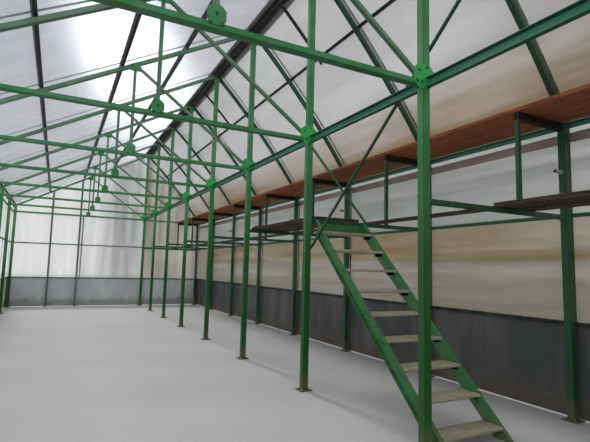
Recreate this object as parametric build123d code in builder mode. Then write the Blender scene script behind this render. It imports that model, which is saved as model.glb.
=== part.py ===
"""A commercial greenhouse: a steel frame in equal bays, glazed with twin-wall sheets.

Every frame has a low wall post on the left, a tall post under the ridge and a low wall post on the right. A tie and a
straight rafter span the wide left bay, and a gently arched rafter closes the steep right side. Two timber decks and a
steel stair hang on the right side. X runs across the building, Y along it, and the origin is on the ground in the
middle of the plan.
"""

import os
from math import atan2, cos, degrees, sin, tan

from build123d import *

os.makedirs("parts", exist_ok=True)

# Driving dimensions of the building, in millimetres
bay_length = 2100
bay_count = 9
width = 6180  # between the centre lines of the two rows of wall posts
ridge_from_left = 4160  # from the left wall posts to the row of ridge posts
tie_height = 3160
ridge_height = 5610  # where the rafters' centre lines meet
left_eave_height = 3360  # of the left rafter's centre line over the left wall posts
right_eave_height = 3220
right_rafter_rise = 80  # how far the arched rafter bows out from its chord

# Steel sections
post_side = 80
foot_side = 160
foot_thickness = 12
tie_depth = 50
rafter_side = 60
web_side = 42
brace_side = 28
row_beam_width = 50
row_beam_depth = 90
channel_wall = 7
girt_side = 40
eave_beam_depth = 60
eave_beam_drop = 60  # from the right eave height to the beam's top

# Trusses
upright_from_left = 2218
plate_thickness = 8
post_plate_reach = 150  # from the ridge post's centre line along the tie
post_plate_lap = 42  # past the ridge post's other side
post_plate_drop = 35  # below the tie
post_plate_height = 235
post_plate_chamfer = 60
upright_plate_width = 140
upright_plate_height = 150
upright_plate_lap = 25  # how far it reaches down over the tie
upright_plate_chamfer = 38
top_plate_size = 150

# Ridge beam, purlins and the cap over the ridge
ridge_beam_width = 100
ridge_beam_drop = 40  # how far it hangs below the meeting point of the rafters' centre lines
purlin_width = 50
purlin_depth = 60
left_purlin_offsets = (0, 1005, 2050, 3010)  # from the left wall posts
right_purlin_shares = (0.325, 0.97)  # of the arched rafter, counted from the ridge
ridge_strut_side = 40
ridge_strut_bays = (3, 5)  # bays with a short strut from the ridge beam to the upper purlin
cap_leg = 180
cap_thickness = 3

# Girts, glazing and the skirt panels below it
lower_girt_height = 980
upper_girt_height = 2130
sheet_thickness = 8
sheet_joint = 6
skirt_thickness = 12
skirt_gap = 15  # between the ground and the skirt
verge_overhang = 60
eave_overhang = 50

# Gable posts, from the left wall posts: the near gable's doorway lies between them
gable_post_offsets = (1100, 1980)
gable_post_side = 60

# Upper deck
board_thickness = 40
board_gap = 8
upper_deck_drop = 80  # from the right eave height to the boards' underside
upper_deck_from_wall = 780  # from the right wall posts' centre line to the near edge
upper_board_width = 240
upper_board_count = 3
upper_board_bays = 3  # bays that one board spans
deck_bearer_width = 50
deck_bearer_depth = 85

# Lower deck
hanger_from_wall = 750
hanger_side = 45
lower_beam_side = 50
lower_beam_height = 2104
deck_rail_from_wall = 910
deck_rail_width = 50
deck_rail_depth = 45
plank_width = 165
plank_count = 2  # on the inner side of the hangers
plank_from_hanger = 125  # from the hangers' centre line to the centre line of the next plank
plank_bay_count = 2

# Stair and landing
stair_bay_count = 3  # bays between the near gable and the landing
stair_from_post = 56  # clear gap between the ridge posts and the left stringer
stair_clear_width = 708
tread_count = 9
riser = 231
going = 244
top_riser = 205  # from the top tread to the landing
top_tread_setback = 93  # from the landing beam's face to the middle of the top tread
tread_depth = 230
tread_thickness = 32
tread_nosing = 12
stringer_depth = 130
stringer_width = 45
stringer_wall = 8
head_bar_thickness = 8
landing_board_width = 225
landing_board_count = 3

# Braces
long_brace_start_count = 1  # bays between the near gable and the brace's head
long_brace_bay_count = 2
long_brace_head = 5200
long_brace_foot = 1750
landing_brace_top = 3080
landing_brace_foot = 880  # from the ridge posts' face along the landing beam

# Places that follow from the driving dimensions
building_length = bay_length * bay_count
frame_lines = [-building_length / 2 + bay_length * i for i in range(bay_count + 1)]
left_x = -width / 2
right_x = width / 2
row_x = left_x + ridge_from_left
upright_x = left_x + upright_from_left
half_post = post_side / 2

left_slope = atan2(ridge_height - left_eave_height, ridge_from_left)
right_chord = Vector(right_x - row_x, right_eave_height - ridge_height)
right_chord_middle = Vector((row_x + right_x) / 2, (ridge_height + right_eave_height) / 2)
right_outward = Vector(-right_chord.Y, right_chord.X).normalized()
right_radius = (right_chord.length**2 / 4 + right_rafter_rise**2) / (2 * right_rafter_rise)
right_centre = right_chord_middle - right_outward * (right_radius - right_rafter_rise)

girt_face = half_post + girt_side  # from a line of wall posts to the outer face of its girts
glazing_face = girt_face + sheet_thickness
roof_lift = rafter_side / 2 + purlin_depth  # from a rafter's centre line to the underside of the glazing
gable_girt_y = building_length / 2 + girt_face
upper_deck_height = right_eave_height - upper_deck_drop


def frame_plane(y):
    """The upright plane across the building at y, with its own x across and its own y upwards."""
    return Plane(origin=(0, y, 0), x_dir=(1, 0, 0), z_dir=(0, -1, 0))


front_planes = [frame_plane(y - half_post) for y in frame_lines]


def left_line(x, lift=0):
    """Height at x of the left rafter's centre line, or of a line lifted off it at right angles."""
    return ridge_height + (x - row_x) * tan(left_slope) + lift / cos(left_slope)


def right_angle_at(share):
    """Angle, seen from the arc's centre, of a point at this share of the arched rafter from the ridge."""
    start = Vector(row_x, ridge_height) - right_centre
    end = Vector(right_x, right_eave_height) - right_centre
    first = atan2(start.Y, start.X)
    return first + (atan2(end.Y, end.X) - first) * share


def right_height(x, lift=0):
    """Height at x of the arched rafter's centre line, or of an arc that lies lift outside it."""
    return right_centre.Y + ((right_radius + lift) ** 2 - (x - right_centre.X) ** 2) ** 0.5


def member(start, end, side):
    """Draws a straight bar of this width between two points of the current sketch."""
    run = Vector(*end) - Vector(*start)
    middle = (Vector(*start) + Vector(*end)) * 0.5
    with Locations((middle.X, middle.Y)):
        Rectangle(run.length, side, rotation=degrees(atan2(run.Y, run.X)))


def block(x_low, x_high, z_low, z_high, mode=Mode.ADD):
    """Draws a level rectangle in the current sketch between two heights."""
    with Locations(((x_low + x_high) / 2, (z_low + z_high) / 2)):
        Rectangle(x_high - x_low, z_high - z_low, mode=mode)


def channel(x_low, x_high, z_low, z_high):
    """Draws a channel section with its web on the right and its flanges pointing left."""
    block(x_low, x_high, z_low, z_high)
    block(x_low, x_high - channel_wall, z_low + channel_wall, z_high - channel_wall, mode=Mode.SUBTRACT)


def post_block(x, z_low, z_high, mode=Mode.ADD):
    """Draws one post of the main section, centred on x."""
    block(x - half_post, x + half_post, z_low, z_high, mode)


def outline(*points, mode=Mode.ADD):
    """Draws a closed polygon in the current sketch."""
    Polygon(*points, align=None, mode=mode)


def under_left_rafter(lift=-rafter_side / 2):
    """Keeps what lies under the left slope, or under a line lifted off its rafters."""
    low_x, high_x = left_x - width, row_x + width
    outline(
        (low_x, -width),
        (high_x, -width),
        (high_x, left_line(high_x, lift)),
        (low_x, left_line(low_x, lift)),
        mode=Mode.INTERSECT,
    )


def under_right_rafter(lift=-rafter_side / 2):
    """Keeps what lies inside the arched side, or inside an arc that lies lift outside its rafters."""
    with Locations((right_centre.X, right_centre.Y)):
        Circle(right_radius + lift, mode=Mode.INTERSECT)


def save(piece, name):
    """Labels a finished piece and writes it under its own name."""
    piece.part.label = name
    export_step(piece.part, f"parts/{name}.step")


# Posts, each standing on its foot plate
with BuildPart() as post_feet:
    with BuildSketch():
        with Locations(*[(x, y) for x in (left_x, row_x, right_x) for y in frame_lines]):
            Rectangle(foot_side, foot_side)
    extrude(amount=foot_thickness)
save(post_feet, "post_feet")

ridge_beam_bottom = ridge_height - ridge_beam_drop
with BuildPart() as ridge_posts:
    with BuildSketch(*front_planes):
        post_block(row_x, foot_thickness, ridge_beam_bottom)
    extrude(amount=-post_side)
save(ridge_posts, "ridge_posts")

with BuildPart() as left_wall_posts:
    with BuildSketch(*front_planes):
        post_block(left_x, foot_thickness, ridge_height)
        under_left_rafter()
    extrude(amount=-post_side)
save(left_wall_posts, "left_wall_posts")

with BuildPart() as right_wall_posts:
    with BuildSketch(*front_planes):
        post_block(right_x, foot_thickness, ridge_height)
        under_right_rafter()
    extrude(amount=-post_side)
save(right_wall_posts, "right_wall_posts")

# Trusses: all their bars are flush with the near faces of the posts, where the plates lie
tie_top = tie_height + tie_depth / 2
tie_bottom = tie_height - tie_depth / 2
with BuildPart() as tie_beams:
    with BuildSketch(*front_planes):
        block(left_x + half_post, row_x - half_post, tie_bottom, tie_top)
    extrude(amount=-post_side)
save(tie_beams, "tie_beams")

with BuildPart() as left_rafters:
    with BuildSketch(*front_planes):
        member((left_x - width / 4, left_line(left_x - width / 4)), (row_x, ridge_height), rafter_side)
        block(left_x - girt_face, row_x, tie_height, ridge_height + post_side, mode=Mode.INTERSECT)
        post_block(row_x, tie_height, ridge_beam_bottom, mode=Mode.SUBTRACT)
        block(row_x - ridge_beam_width / 2, row_x, ridge_beam_bottom, 2 * ridge_height, mode=Mode.SUBTRACT)
    extrude(amount=-rafter_side)
save(left_rafters, "left_rafters")

with BuildPart() as right_rafters:
    with BuildSketch(*front_planes):
        block(row_x + ridge_beam_width / 2, right_x + half_post, ridge_beam_bottom, ridge_height + post_side)
        block(row_x + half_post, right_x + half_post, right_eave_height - 2 * post_side, ridge_beam_bottom)
        under_right_rafter(rafter_side / 2)
        with Locations((right_centre.X, right_centre.Y)):
            Circle(right_radius - rafter_side / 2, mode=Mode.SUBTRACT)
    extrude(amount=-rafter_side)
save(right_rafters, "right_rafters")

with BuildPart() as truss_uprights:
    with BuildSketch(*front_planes):
        block(upright_x - web_side / 2, upright_x + web_side / 2, tie_top, ridge_height)
        under_left_rafter()
    extrude(amount=-web_side)
save(truss_uprights, "truss_uprights")

with BuildPart() as truss_diagonals:
    with BuildSketch(*front_planes):
        member((upright_x, left_line(upright_x)), (row_x, tie_height), web_side)
        block(upright_x + web_side / 2, row_x - half_post, tie_top, ridge_height, mode=Mode.INTERSECT)
        under_left_rafter()
    extrude(amount=-web_side)
save(truss_diagonals, "truss_diagonals")

with BuildPart() as ridge_post_plates:
    with BuildSketch(*front_planes[1:]):
        block(
            row_x - post_plate_reach,
            row_x + half_post + post_plate_lap,
            tie_bottom - post_plate_drop,
            tie_bottom - post_plate_drop + post_plate_height,
        )
        chamfer(vertices(), post_plate_chamfer)
    extrude(amount=plate_thickness)
save(ridge_post_plates, "ridge_post_plates")

with BuildPart() as truss_foot_plates:
    with BuildSketch(*front_planes[1:]):
        block(
            upright_x - upright_plate_width / 2,
            upright_x + upright_plate_width / 2,
            tie_top - upright_plate_lap,
            tie_top - upright_plate_lap + upright_plate_height,
        )
        chamfer(vertices(), upright_plate_chamfer)
    extrude(amount=plate_thickness)
save(truss_foot_plates, "truss_foot_plates")

with BuildPart() as truss_top_plates:
    with BuildSketch(*front_planes[1:]):
        with Locations((upright_x, left_line(upright_x, -rafter_side / 2))):
            Rectangle(top_plate_size, top_plate_size)
        under_left_rafter(rafter_side / 2)
    extrude(amount=plate_thickness)
save(truss_top_plates, "truss_top_plates")

# Beams that run along the building
with BuildPart() as row_beams:
    for near, far in zip(frame_lines, frame_lines[1:]):
        beam_start = near + half_post
        beam_length = far - half_post - plate_thickness - beam_start
        with BuildSketch(frame_plane(beam_start)):
            channel(
                row_x - row_beam_width / 2,
                row_x + row_beam_width / 2,
                tie_height - row_beam_depth / 2,
                tie_height + row_beam_depth / 2,
            )
        extrude(amount=-beam_length)
save(row_beams, "row_beams")

half_ridge_beam = ridge_beam_width / 2
ridge_beam_top = min(left_line(row_x - half_ridge_beam, roof_lift), right_height(row_x + half_ridge_beam, roof_lift))
with BuildPart() as ridge_beam:
    with BuildSketch(frame_plane(-gable_girt_y)):
        block(row_x - half_ridge_beam, row_x + half_ridge_beam, ridge_beam_bottom, ridge_beam_top)
    extrude(amount=-2 * gable_girt_y)
save(ridge_beam, "ridge_beam")

purlin_lift = (rafter_side + purlin_depth) / 2
with BuildPart() as left_purlins:
    with BuildSketch(frame_plane(-gable_girt_y)):
        for offset in left_purlin_offsets:
            with Locations(
                (
                    left_x + offset - purlin_lift * sin(left_slope),
                    left_line(left_x + offset) + purlin_lift * cos(left_slope),
                )
            ):
                Rectangle(purlin_width, purlin_depth, rotation=degrees(left_slope))
    extrude(amount=-2 * gable_girt_y)
save(left_purlins, "left_purlins")

with BuildPart() as right_purlins:
    with BuildSketch(frame_plane(-gable_girt_y)):
        for share in right_purlin_shares:
            angle = right_angle_at(share)
            reach = right_radius + purlin_lift
            with Locations((right_centre.X + reach * cos(angle), right_centre.Y + reach * sin(angle))):
                Rectangle(purlin_depth, purlin_width, rotation=degrees(angle))
        under_right_rafter(roof_lift)
    extrude(amount=-2 * gable_girt_y)
save(right_purlins, "right_purlins")

upper_angle = right_angle_at(right_purlin_shares[0])
strut_foot_x = right_centre.X + (right_radius + purlin_lift) * cos(upper_angle) + purlin_width / 2
with BuildPart() as ridge_struts:
    for strut_bay in ridge_strut_bays:
        middle_y = (frame_lines[strut_bay] + frame_lines[strut_bay + 1]) / 2
        with BuildSketch(frame_plane(middle_y - ridge_strut_side / 2)):
            block(row_x + half_ridge_beam, strut_foot_x, tie_height, ridge_beam_top)
            under_right_rafter(rafter_side / 2)
            with Locations((right_centre.X, right_centre.Y)):
                Circle(right_radius + rafter_side / 2 - ridge_strut_side, mode=Mode.SUBTRACT)
        extrude(amount=-ridge_strut_side)
save(ridge_struts, "ridge_struts")

# Girts outside the wall posts, running past the corners' side faces up to the gable girts
side_girt_y = building_length / 2 + half_post


def side_girts(outer_x, heights):
    """Adds level girts along one side wall to the current part."""
    with BuildSketch(frame_plane(-side_girt_y)) as ends:
        for height in heights:
            with Locations((outer_x, height)):
                Rectangle(girt_side, girt_side)
    extrude(ends.sketch, amount=-2 * side_girt_y)


with BuildPart() as left_wall_girts:
    side_girts(left_x - half_post - girt_side / 2, (lower_girt_height, upper_girt_height, tie_height))
save(left_wall_girts, "left_wall_girts")

with BuildPart() as right_wall_girts:
    side_girts(right_x + half_post + girt_side / 2, (lower_girt_height, upper_girt_height))
save(right_wall_girts, "right_wall_girts")

eave_beam_top = right_eave_height - eave_beam_drop
with BuildPart() as right_eave_beam:
    with BuildSketch(frame_plane(-side_girt_y)):
        channel(right_x + half_post, right_x + girt_face, eave_beam_top - eave_beam_depth, eave_beam_top)
    extrude(amount=-2 * side_girt_y)
save(right_eave_beam, "right_eave_beam")

# Gable frames
door_low_x = left_x + gable_post_offsets[0] + gable_post_side / 2
door_high_x = left_x + gable_post_offsets[1] - gable_post_side / 2
gable_left_x = left_x - girt_face
gable_right_x = right_x + girt_face


def gable_posts(y):
    """Adds the posts between the corners of one gable, cut where they meet the tie and the rafter."""
    with BuildSketch(frame_plane(y - half_post)) as elevation:
        for offset in gable_post_offsets:
            x = left_x + offset
            block(x - gable_post_side / 2, x + gable_post_side / 2, 0, ridge_height)
        under_left_rafter()
        block(left_x, row_x, tie_bottom, tie_top, mode=Mode.SUBTRACT)
    extrude(elevation.sketch, amount=-gable_post_side)


def gable_girts(y_near, spans):
    """Adds level girts across one gable: each span is a height with the two ends of its girt."""
    with BuildSketch(frame_plane(y_near)) as elevation:
        for height, x_low, x_high in spans:
            block(x_low, x_high, height - girt_side / 2, height + girt_side / 2)
    extrude(elevation.sketch, amount=-girt_side)


with BuildPart() as far_gable_posts:
    gable_posts(frame_lines[-1])
save(far_gable_posts, "far_gable_posts")

with BuildPart() as near_gable_posts:
    gable_posts(frame_lines[0])
save(near_gable_posts, "near_gable_posts")

high_girts = [(height, gable_left_x, gable_right_x) for height in (upper_girt_height, tie_height)]
with BuildPart() as far_gable_girts:
    gable_girts(side_girt_y, high_girts + [(lower_girt_height, gable_left_x, gable_right_x)])
save(far_gable_girts, "far_gable_girts")

with BuildPart() as near_gable_girts:
    gable_girts(
        -gable_girt_y,
        high_girts
        + [
            (lower_girt_height, gable_left_x, door_low_x),
            (lower_girt_height, door_high_x, gable_right_x),
        ],
    )
save(near_gable_girts, "near_gable_girts")


# Glazing: one sheet to a bay on the sides and the roof
def bay_spans(end_y):
    """The two ends of each bay's sheet, with the outer ones reaching to end_y beyond the gables."""
    joints = frame_lines[1:-1]
    starts = [-end_y] + [y + sheet_joint / 2 for y in joints]
    ends = [y - sheet_joint / 2 for y in joints] + [end_y]
    return list(zip(starts, ends))


roof_end_y = gable_girt_y + sheet_thickness + verge_overhang
left_verge_x = left_x - glazing_face - eave_overhang
right_verge_x = right_x + glazing_face + eave_overhang
top_lift = roof_lift + sheet_thickness

with BuildPart() as left_roof_sheets:
    for start, end in bay_spans(roof_end_y):
        with BuildSketch(frame_plane(start)):
            outline(
                (left_verge_x, left_line(left_verge_x, roof_lift)),
                (row_x, left_line(row_x, roof_lift)),
                (row_x, left_line(row_x, top_lift)),
                (left_verge_x, left_line(left_verge_x, top_lift)),
            )
        extrude(amount=start - end)
save(left_roof_sheets, "left_roof_sheets")

with BuildPart() as right_roof_sheets:
    for start, end in bay_spans(roof_end_y):
        with BuildSketch(frame_plane(start)):
            block(row_x + sheet_joint, right_verge_x, tie_bottom, 2 * ridge_height)
            under_right_rafter(top_lift)
            with Locations((right_centre.X, right_centre.Y)):
                Circle(right_radius + roof_lift, mode=Mode.SUBTRACT)
        extrude(amount=start - end)
save(right_roof_sheets, "right_roof_sheets")

with BuildPart() as ridge_cap:
    with BuildSketch(frame_plane(-roof_end_y)):
        block(row_x, row_x + cap_leg * cos(left_slope), tie_height, 2 * ridge_height)
        under_right_rafter(top_lift + cap_thickness)
        with Locations((right_centre.X, right_centre.Y)):
            Circle(right_radius + top_lift, mode=Mode.SUBTRACT)
        cap_low_x = row_x - cap_leg * cos(left_slope)
        outline(
            (cap_low_x, left_line(cap_low_x, top_lift)),
            (row_x, left_line(row_x, top_lift)),
            (row_x, right_height(row_x, top_lift + cap_thickness)),
            (cap_low_x, left_line(cap_low_x, top_lift + cap_thickness)),
        )
    extrude(amount=-2 * roof_end_y)
save(ridge_cap, "ridge_cap")


def side_panels(x_low, x_high, z_low, z_high):
    """Adds one upright panel to each bay of a side wall."""
    for start, end in bay_spans(gable_girt_y):
        with BuildSketch(frame_plane(start)) as section:
            block(x_low, x_high, z_low, z_high)
        extrude(section.sketch, amount=start - end)


sheet_foot = lower_girt_height + sheet_joint / 2
left_wall_top = left_line(left_x - glazing_face, roof_lift) - sheet_joint
right_wall_top = right_height(right_x + glazing_face, roof_lift) - sheet_joint
with BuildPart() as left_wall_sheets:
    side_panels(left_x - glazing_face, left_x - girt_face, sheet_foot, left_wall_top)
save(left_wall_sheets, "left_wall_sheets")

with BuildPart() as right_wall_sheets:
    side_panels(right_x + girt_face, right_x + glazing_face, sheet_foot, right_wall_top)
save(right_wall_sheets, "right_wall_sheets")

skirt_top = lower_girt_height - sheet_joint / 2
skirt_face = girt_face + skirt_thickness
with BuildPart() as left_wall_skirt:
    side_panels(left_x - skirt_face, left_x - girt_face, skirt_gap, skirt_top)
save(left_wall_skirt, "left_wall_skirt")

with BuildPart() as right_wall_skirt:
    side_panels(right_x + girt_face, right_x + skirt_face, skirt_gap, skirt_top)
save(right_wall_skirt, "right_wall_skirt")

sheet_left_x = left_x - glazing_face
sheet_right_x = right_x + glazing_face


def gable_panels(y_near, thickness, rectangles):
    """Adds rectangular panels to one gable, each given as its two ends and its two heights."""
    with BuildSketch(frame_plane(y_near)) as elevation:
        for x_low, x_high, z_low, z_high in rectangles:
            block(x_low + sheet_joint / 2, x_high - sheet_joint / 2, z_low, z_high)
    extrude(elevation.sketch, amount=-thickness)


def gable_top(y_near):
    """Adds the two sheets over the tie, cut to the slope on the left and to the arch on the right."""
    with BuildSketch(frame_plane(y_near)) as left_top:
        block(sheet_left_x, row_x - sheet_joint / 2, tie_height + sheet_joint / 2, 2 * ridge_height)
        under_left_rafter(roof_lift - sheet_joint)
    extrude(left_top.sketch, amount=-sheet_thickness)
    with BuildSketch(frame_plane(y_near)) as right_top:
        block(row_x + sheet_joint / 2, sheet_right_x, tie_height + sheet_joint / 2, 2 * ridge_height)
        under_right_rafter(roof_lift - sheet_joint)
    extrude(right_top.sketch, amount=-sheet_thickness)


middle_x = (row_x + left_x) / 2
with BuildPart() as far_gable_sheets:
    gable_panels(
        gable_girt_y,
        sheet_thickness,
        [
            (sheet_left_x, middle_x, sheet_foot, tie_height - sheet_joint / 2),
            (middle_x, row_x, sheet_foot, tie_height - sheet_joint / 2),
            (row_x, sheet_right_x, sheet_foot, tie_height - sheet_joint / 2),
        ],
    )
    gable_top(gable_girt_y)
save(far_gable_sheets, "far_gable_sheets")

with BuildPart() as near_gable_sheets:
    gable_panels(
        -gable_girt_y - sheet_thickness,
        sheet_thickness,
        [
            (sheet_left_x, door_low_x, sheet_foot, tie_height - sheet_joint / 2),
            (door_low_x, door_high_x, upper_girt_height + sheet_joint / 2, tie_height - sheet_joint / 2),
            (door_high_x, row_x, sheet_foot, tie_height - sheet_joint / 2),
            (row_x, sheet_right_x, sheet_foot, tie_height - sheet_joint / 2),
        ],
    )
    gable_top(-gable_girt_y - sheet_thickness)
save(near_gable_sheets, "near_gable_sheets")

with BuildPart() as far_gable_skirt:
    gable_panels(
        gable_girt_y,
        skirt_thickness,
        [(sheet_left_x, row_x, skirt_gap, skirt_top), (row_x, sheet_right_x, skirt_gap, skirt_top)],
    )
save(far_gable_skirt, "far_gable_skirt")

with BuildPart() as near_gable_skirt:
    gable_panels(
        -gable_girt_y - skirt_thickness,
        skirt_thickness,
        [
            (sheet_left_x, door_low_x, skirt_gap, skirt_top),
            (door_high_x, row_x, skirt_gap, skirt_top),
            (row_x, sheet_right_x, skirt_gap, skirt_top),
        ],
    )
save(near_gable_skirt, "near_gable_skirt")


# Decks on the right side
def cross_bars(x_low, x_high, z_low, z_high, thickness):
    """Adds one bar to every frame, centred on the frame line."""
    with BuildSketch(*[frame_plane(y - thickness / 2) for y in frame_lines]) as elevation:
        block(x_low, x_high, z_low, z_high)
    extrude(elevation.sketch, amount=-thickness)


def boards(x_starts, board_width, y_low, y_high, z_low):
    """Adds boards that lie along the building, one for each start across it."""
    with BuildSketch(frame_plane(y_low)) as ends:
        for x in x_starts:
            block(x, x + board_width, z_low, z_low + board_thickness)
    extrude(ends.sketch, amount=y_low - y_high)


hanger_x = right_x - hanger_from_wall
wall_face = right_x - half_post
lower_beam_top = lower_beam_height + lower_beam_side / 2
bearer_bottom = upper_deck_height - deck_bearer_depth

with BuildPart() as upper_deck_bearers:
    cross_bars(hanger_x - hanger_side / 2, wall_face, bearer_bottom, upper_deck_height, deck_bearer_width)
save(upper_deck_bearers, "upper_deck_bearers")

upper_starts = [
    right_x - upper_deck_from_wall + i * (upper_board_width + board_gap) for i in range(upper_board_count)
]
with BuildPart() as upper_deck_boards:
    for first in range(0, bay_count, upper_board_bays):
        last = min(first + upper_board_bays, bay_count)
        boards(
            upper_starts,
            upper_board_width,
            frame_lines[first] + board_gap / 2,
            frame_lines[last] - board_gap / 2,
            upper_deck_height,
        )
save(upper_deck_boards, "upper_deck_boards")

with BuildPart() as deck_hangers:
    cross_bars(hanger_x - hanger_side / 2, hanger_x + hanger_side / 2, lower_beam_top, bearer_bottom, hanger_side)
save(deck_hangers, "deck_hangers")

with BuildPart() as lower_deck_beams:
    cross_bars(row_x + half_post, wall_face, lower_beam_top - lower_beam_side, lower_beam_top, lower_beam_side)
save(lower_deck_beams, "lower_deck_beams")

plank_starts = [
    hanger_x + plank_from_hanger * side - plank_width / 2 - (plank_width + board_gap) * row
    for side, rows in ((-1, plank_count), (1, 1))
    for row in range(rows)
]
with BuildPart() as lower_deck_planks:
    boards(plank_starts, plank_width, frame_lines[0] - board_gap, frame_lines[plank_bay_count], lower_beam_top)
save(lower_deck_planks, "lower_deck_planks")

deck_rail_x = right_x - deck_rail_from_wall
with BuildPart() as lower_deck_rail:
    rail_start = frame_lines[plank_bay_count] + board_gap
    with BuildSketch(frame_plane(rail_start)):
        block(
            deck_rail_x - deck_rail_width / 2,
            deck_rail_x + deck_rail_width / 2,
            lower_beam_top,
            lower_beam_top + deck_rail_depth,
        )
    extrude(amount=rail_start - frame_lines[-1])
save(lower_deck_rail, "lower_deck_rail")

# Stair from the ground up to the landing
stair_x = row_x + half_post + stair_from_post
tread_x = stair_x + stringer_width
stair_far_x = tread_x + stair_clear_width
landing_top = lower_beam_top + board_thickness
landing_face = frame_lines[stair_bay_count] - lower_beam_side / 2
top_tread_y = landing_face - top_tread_setback
top_tread_z = landing_top - top_riser

with BuildPart() as stair_treads:
    for step in range(tread_count):
        tread_y = top_tread_y - going * step
        tread_z = top_tread_z - riser * step
        with BuildSketch(Plane.YZ.offset(tread_x)):
            block(tread_y - tread_depth / 2, tread_y + tread_depth / 2, tread_z - tread_thickness, tread_z)
            fillet(vertices().group_by(Axis.X)[0], tread_nosing)
        extrude(amount=stair_clear_width)
save(stair_treads, "stair_treads")

with BuildPart() as stair_head_bar:
    with BuildSketch(frame_plane(landing_face - head_bar_thickness)):
        block(tread_x, stair_far_x, top_tread_z, lower_beam_top - lower_beam_side)
    extrude(amount=-head_bar_thickness)
save(stair_head_bar, "stair_head_bar")


def stringer_band(depth):
    """Draws one stringer's side view, cut level at the ground and upright at the landing beam."""
    foot_y = top_tread_y - going * (tread_count + 1)
    foot_z = top_tread_z - riser * (tread_count + 1) - tread_thickness / 2
    member((foot_y, foot_z), (top_tread_y + going, top_tread_z + riser - tread_thickness / 2), depth)
    block(foot_y, landing_face, 0, landing_top, mode=Mode.INTERSECT)


def stringer(inner_x, outwards):
    """Adds a channel whose web faces the treads and whose flanges point outwards."""
    inner_plane = Plane.YZ.offset(inner_x)
    with BuildSketch(inner_plane) as whole:
        stringer_band(stringer_depth)
    extrude(whole.sketch, amount=outwards * stringer_width)
    with BuildSketch(inner_plane.offset(outwards * stringer_width)) as hollow:
        stringer_band(stringer_depth - 2 * stringer_wall)
    extrude(hollow.sketch, amount=-outwards * (stringer_width - stringer_wall), mode=Mode.SUBTRACT)


with BuildPart() as stair_left_stringer:
    stringer(tread_x, -1)
save(stair_left_stringer, "stair_left_stringer")

with BuildPart() as stair_right_stringer:
    stringer(stair_far_x, 1)
save(stair_right_stringer, "stair_right_stringer")

with BuildPart() as landing_boards:
    boards(
        [stair_x + i * (landing_board_width + board_gap) for i in range(landing_board_count)],
        landing_board_width,
        landing_face,
        frame_lines[stair_bay_count + 1] + lower_beam_side / 2,
        lower_beam_top,
    )
save(landing_boards, "landing_boards")

# Braces
with BuildPart() as long_brace:
    with BuildSketch(Plane.YZ.offset(row_x + half_post)):
        member(
            (frame_lines[long_brace_start_count], long_brace_head),
            (frame_lines[long_brace_start_count + long_brace_bay_count], long_brace_foot),
            brace_side,
        )
    extrude(amount=brace_side)
save(long_brace, "long_brace")

with BuildPart() as landing_brace:
    with BuildSketch(frame_plane(frame_lines[stair_bay_count] - brace_side / 2)):
        brace_head = (row_x, landing_brace_top + half_post)
        brace_toe = (row_x + half_post + landing_brace_foot, lower_beam_top)
        member(brace_head, (2 * brace_toe[0] - brace_head[0], 2 * brace_toe[1] - brace_head[1]), brace_side)
        block(row_x + half_post, right_x, lower_beam_top, ridge_height, mode=Mode.INTERSECT)
    extrude(amount=-brace_side)
save(landing_brace, "landing_brace")
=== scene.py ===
"""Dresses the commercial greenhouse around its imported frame.

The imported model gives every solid. Here the steel bars and timbers get rounded corners, and welds, bolts, screws,
cleats, caps, glazing strips and pegs are added along the same lines. Lengths are in metres. X runs across the
building towards the steep side, Y along the ridge, and the ground is at zero.
"""

import logging
from collections.abc import Iterable, Sequence
from dataclasses import dataclass, field
from enum import Enum
from math import atan2, cos, hypot, pi, radians, sin, sqrt, tan
from types import SimpleNamespace
from typing import Union

import bmesh
import bpy
from mathutils import Matrix, Vector

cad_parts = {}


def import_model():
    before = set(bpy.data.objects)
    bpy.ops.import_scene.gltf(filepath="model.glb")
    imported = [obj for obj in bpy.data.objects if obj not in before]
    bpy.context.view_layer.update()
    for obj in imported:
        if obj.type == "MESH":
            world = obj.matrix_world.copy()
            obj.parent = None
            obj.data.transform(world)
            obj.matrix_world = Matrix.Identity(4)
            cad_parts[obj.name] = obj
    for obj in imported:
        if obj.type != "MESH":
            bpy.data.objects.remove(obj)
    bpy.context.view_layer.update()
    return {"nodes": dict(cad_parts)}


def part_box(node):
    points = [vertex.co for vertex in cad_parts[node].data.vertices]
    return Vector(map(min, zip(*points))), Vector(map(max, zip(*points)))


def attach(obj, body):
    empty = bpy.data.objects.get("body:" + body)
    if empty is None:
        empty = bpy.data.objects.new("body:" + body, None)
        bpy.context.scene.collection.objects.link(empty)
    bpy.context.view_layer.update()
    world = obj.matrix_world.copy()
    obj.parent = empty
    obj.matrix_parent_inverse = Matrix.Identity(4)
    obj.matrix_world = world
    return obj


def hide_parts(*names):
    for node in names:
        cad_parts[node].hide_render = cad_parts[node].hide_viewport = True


log = logging.getLogger("greenhouse")

Colour = tuple[int, int, int]
Point = tuple[float, float, float]
Pair = tuple[float, float]
Value = Union["Wire", float, tuple[float, ...]]

OUT_LEFT = Vector((-1, 0, 0))
OUT_RIGHT = Vector((1, 0, 0))
OUT_NEAR = Vector((0, -1, 0))
OUT_FAR = Vector((0, 1, 0))
UP = Vector((0, 0, 1))
X_WAY, Y_WAY, Z_WAY = (1.0, 0.0, 0.0), (0.0, 1.0, 0.0), (0.0, 0.0, 1.0)
CORNERS = ((-1, -1), (1, -1), (1, 1), (-1, 1))


class Slot(Enum):
    """Material slots of the record, passed along with the new pieces but not stored on them."""

    GREEN = "green_paint"
    BLACK = "black_paint"
    RIDGE = "ridge_timber"
    DECK = "deck_timber"
    DARK = "dark_timber"
    TREAD = "tread_board"
    METAL = "cap_metal"


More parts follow.
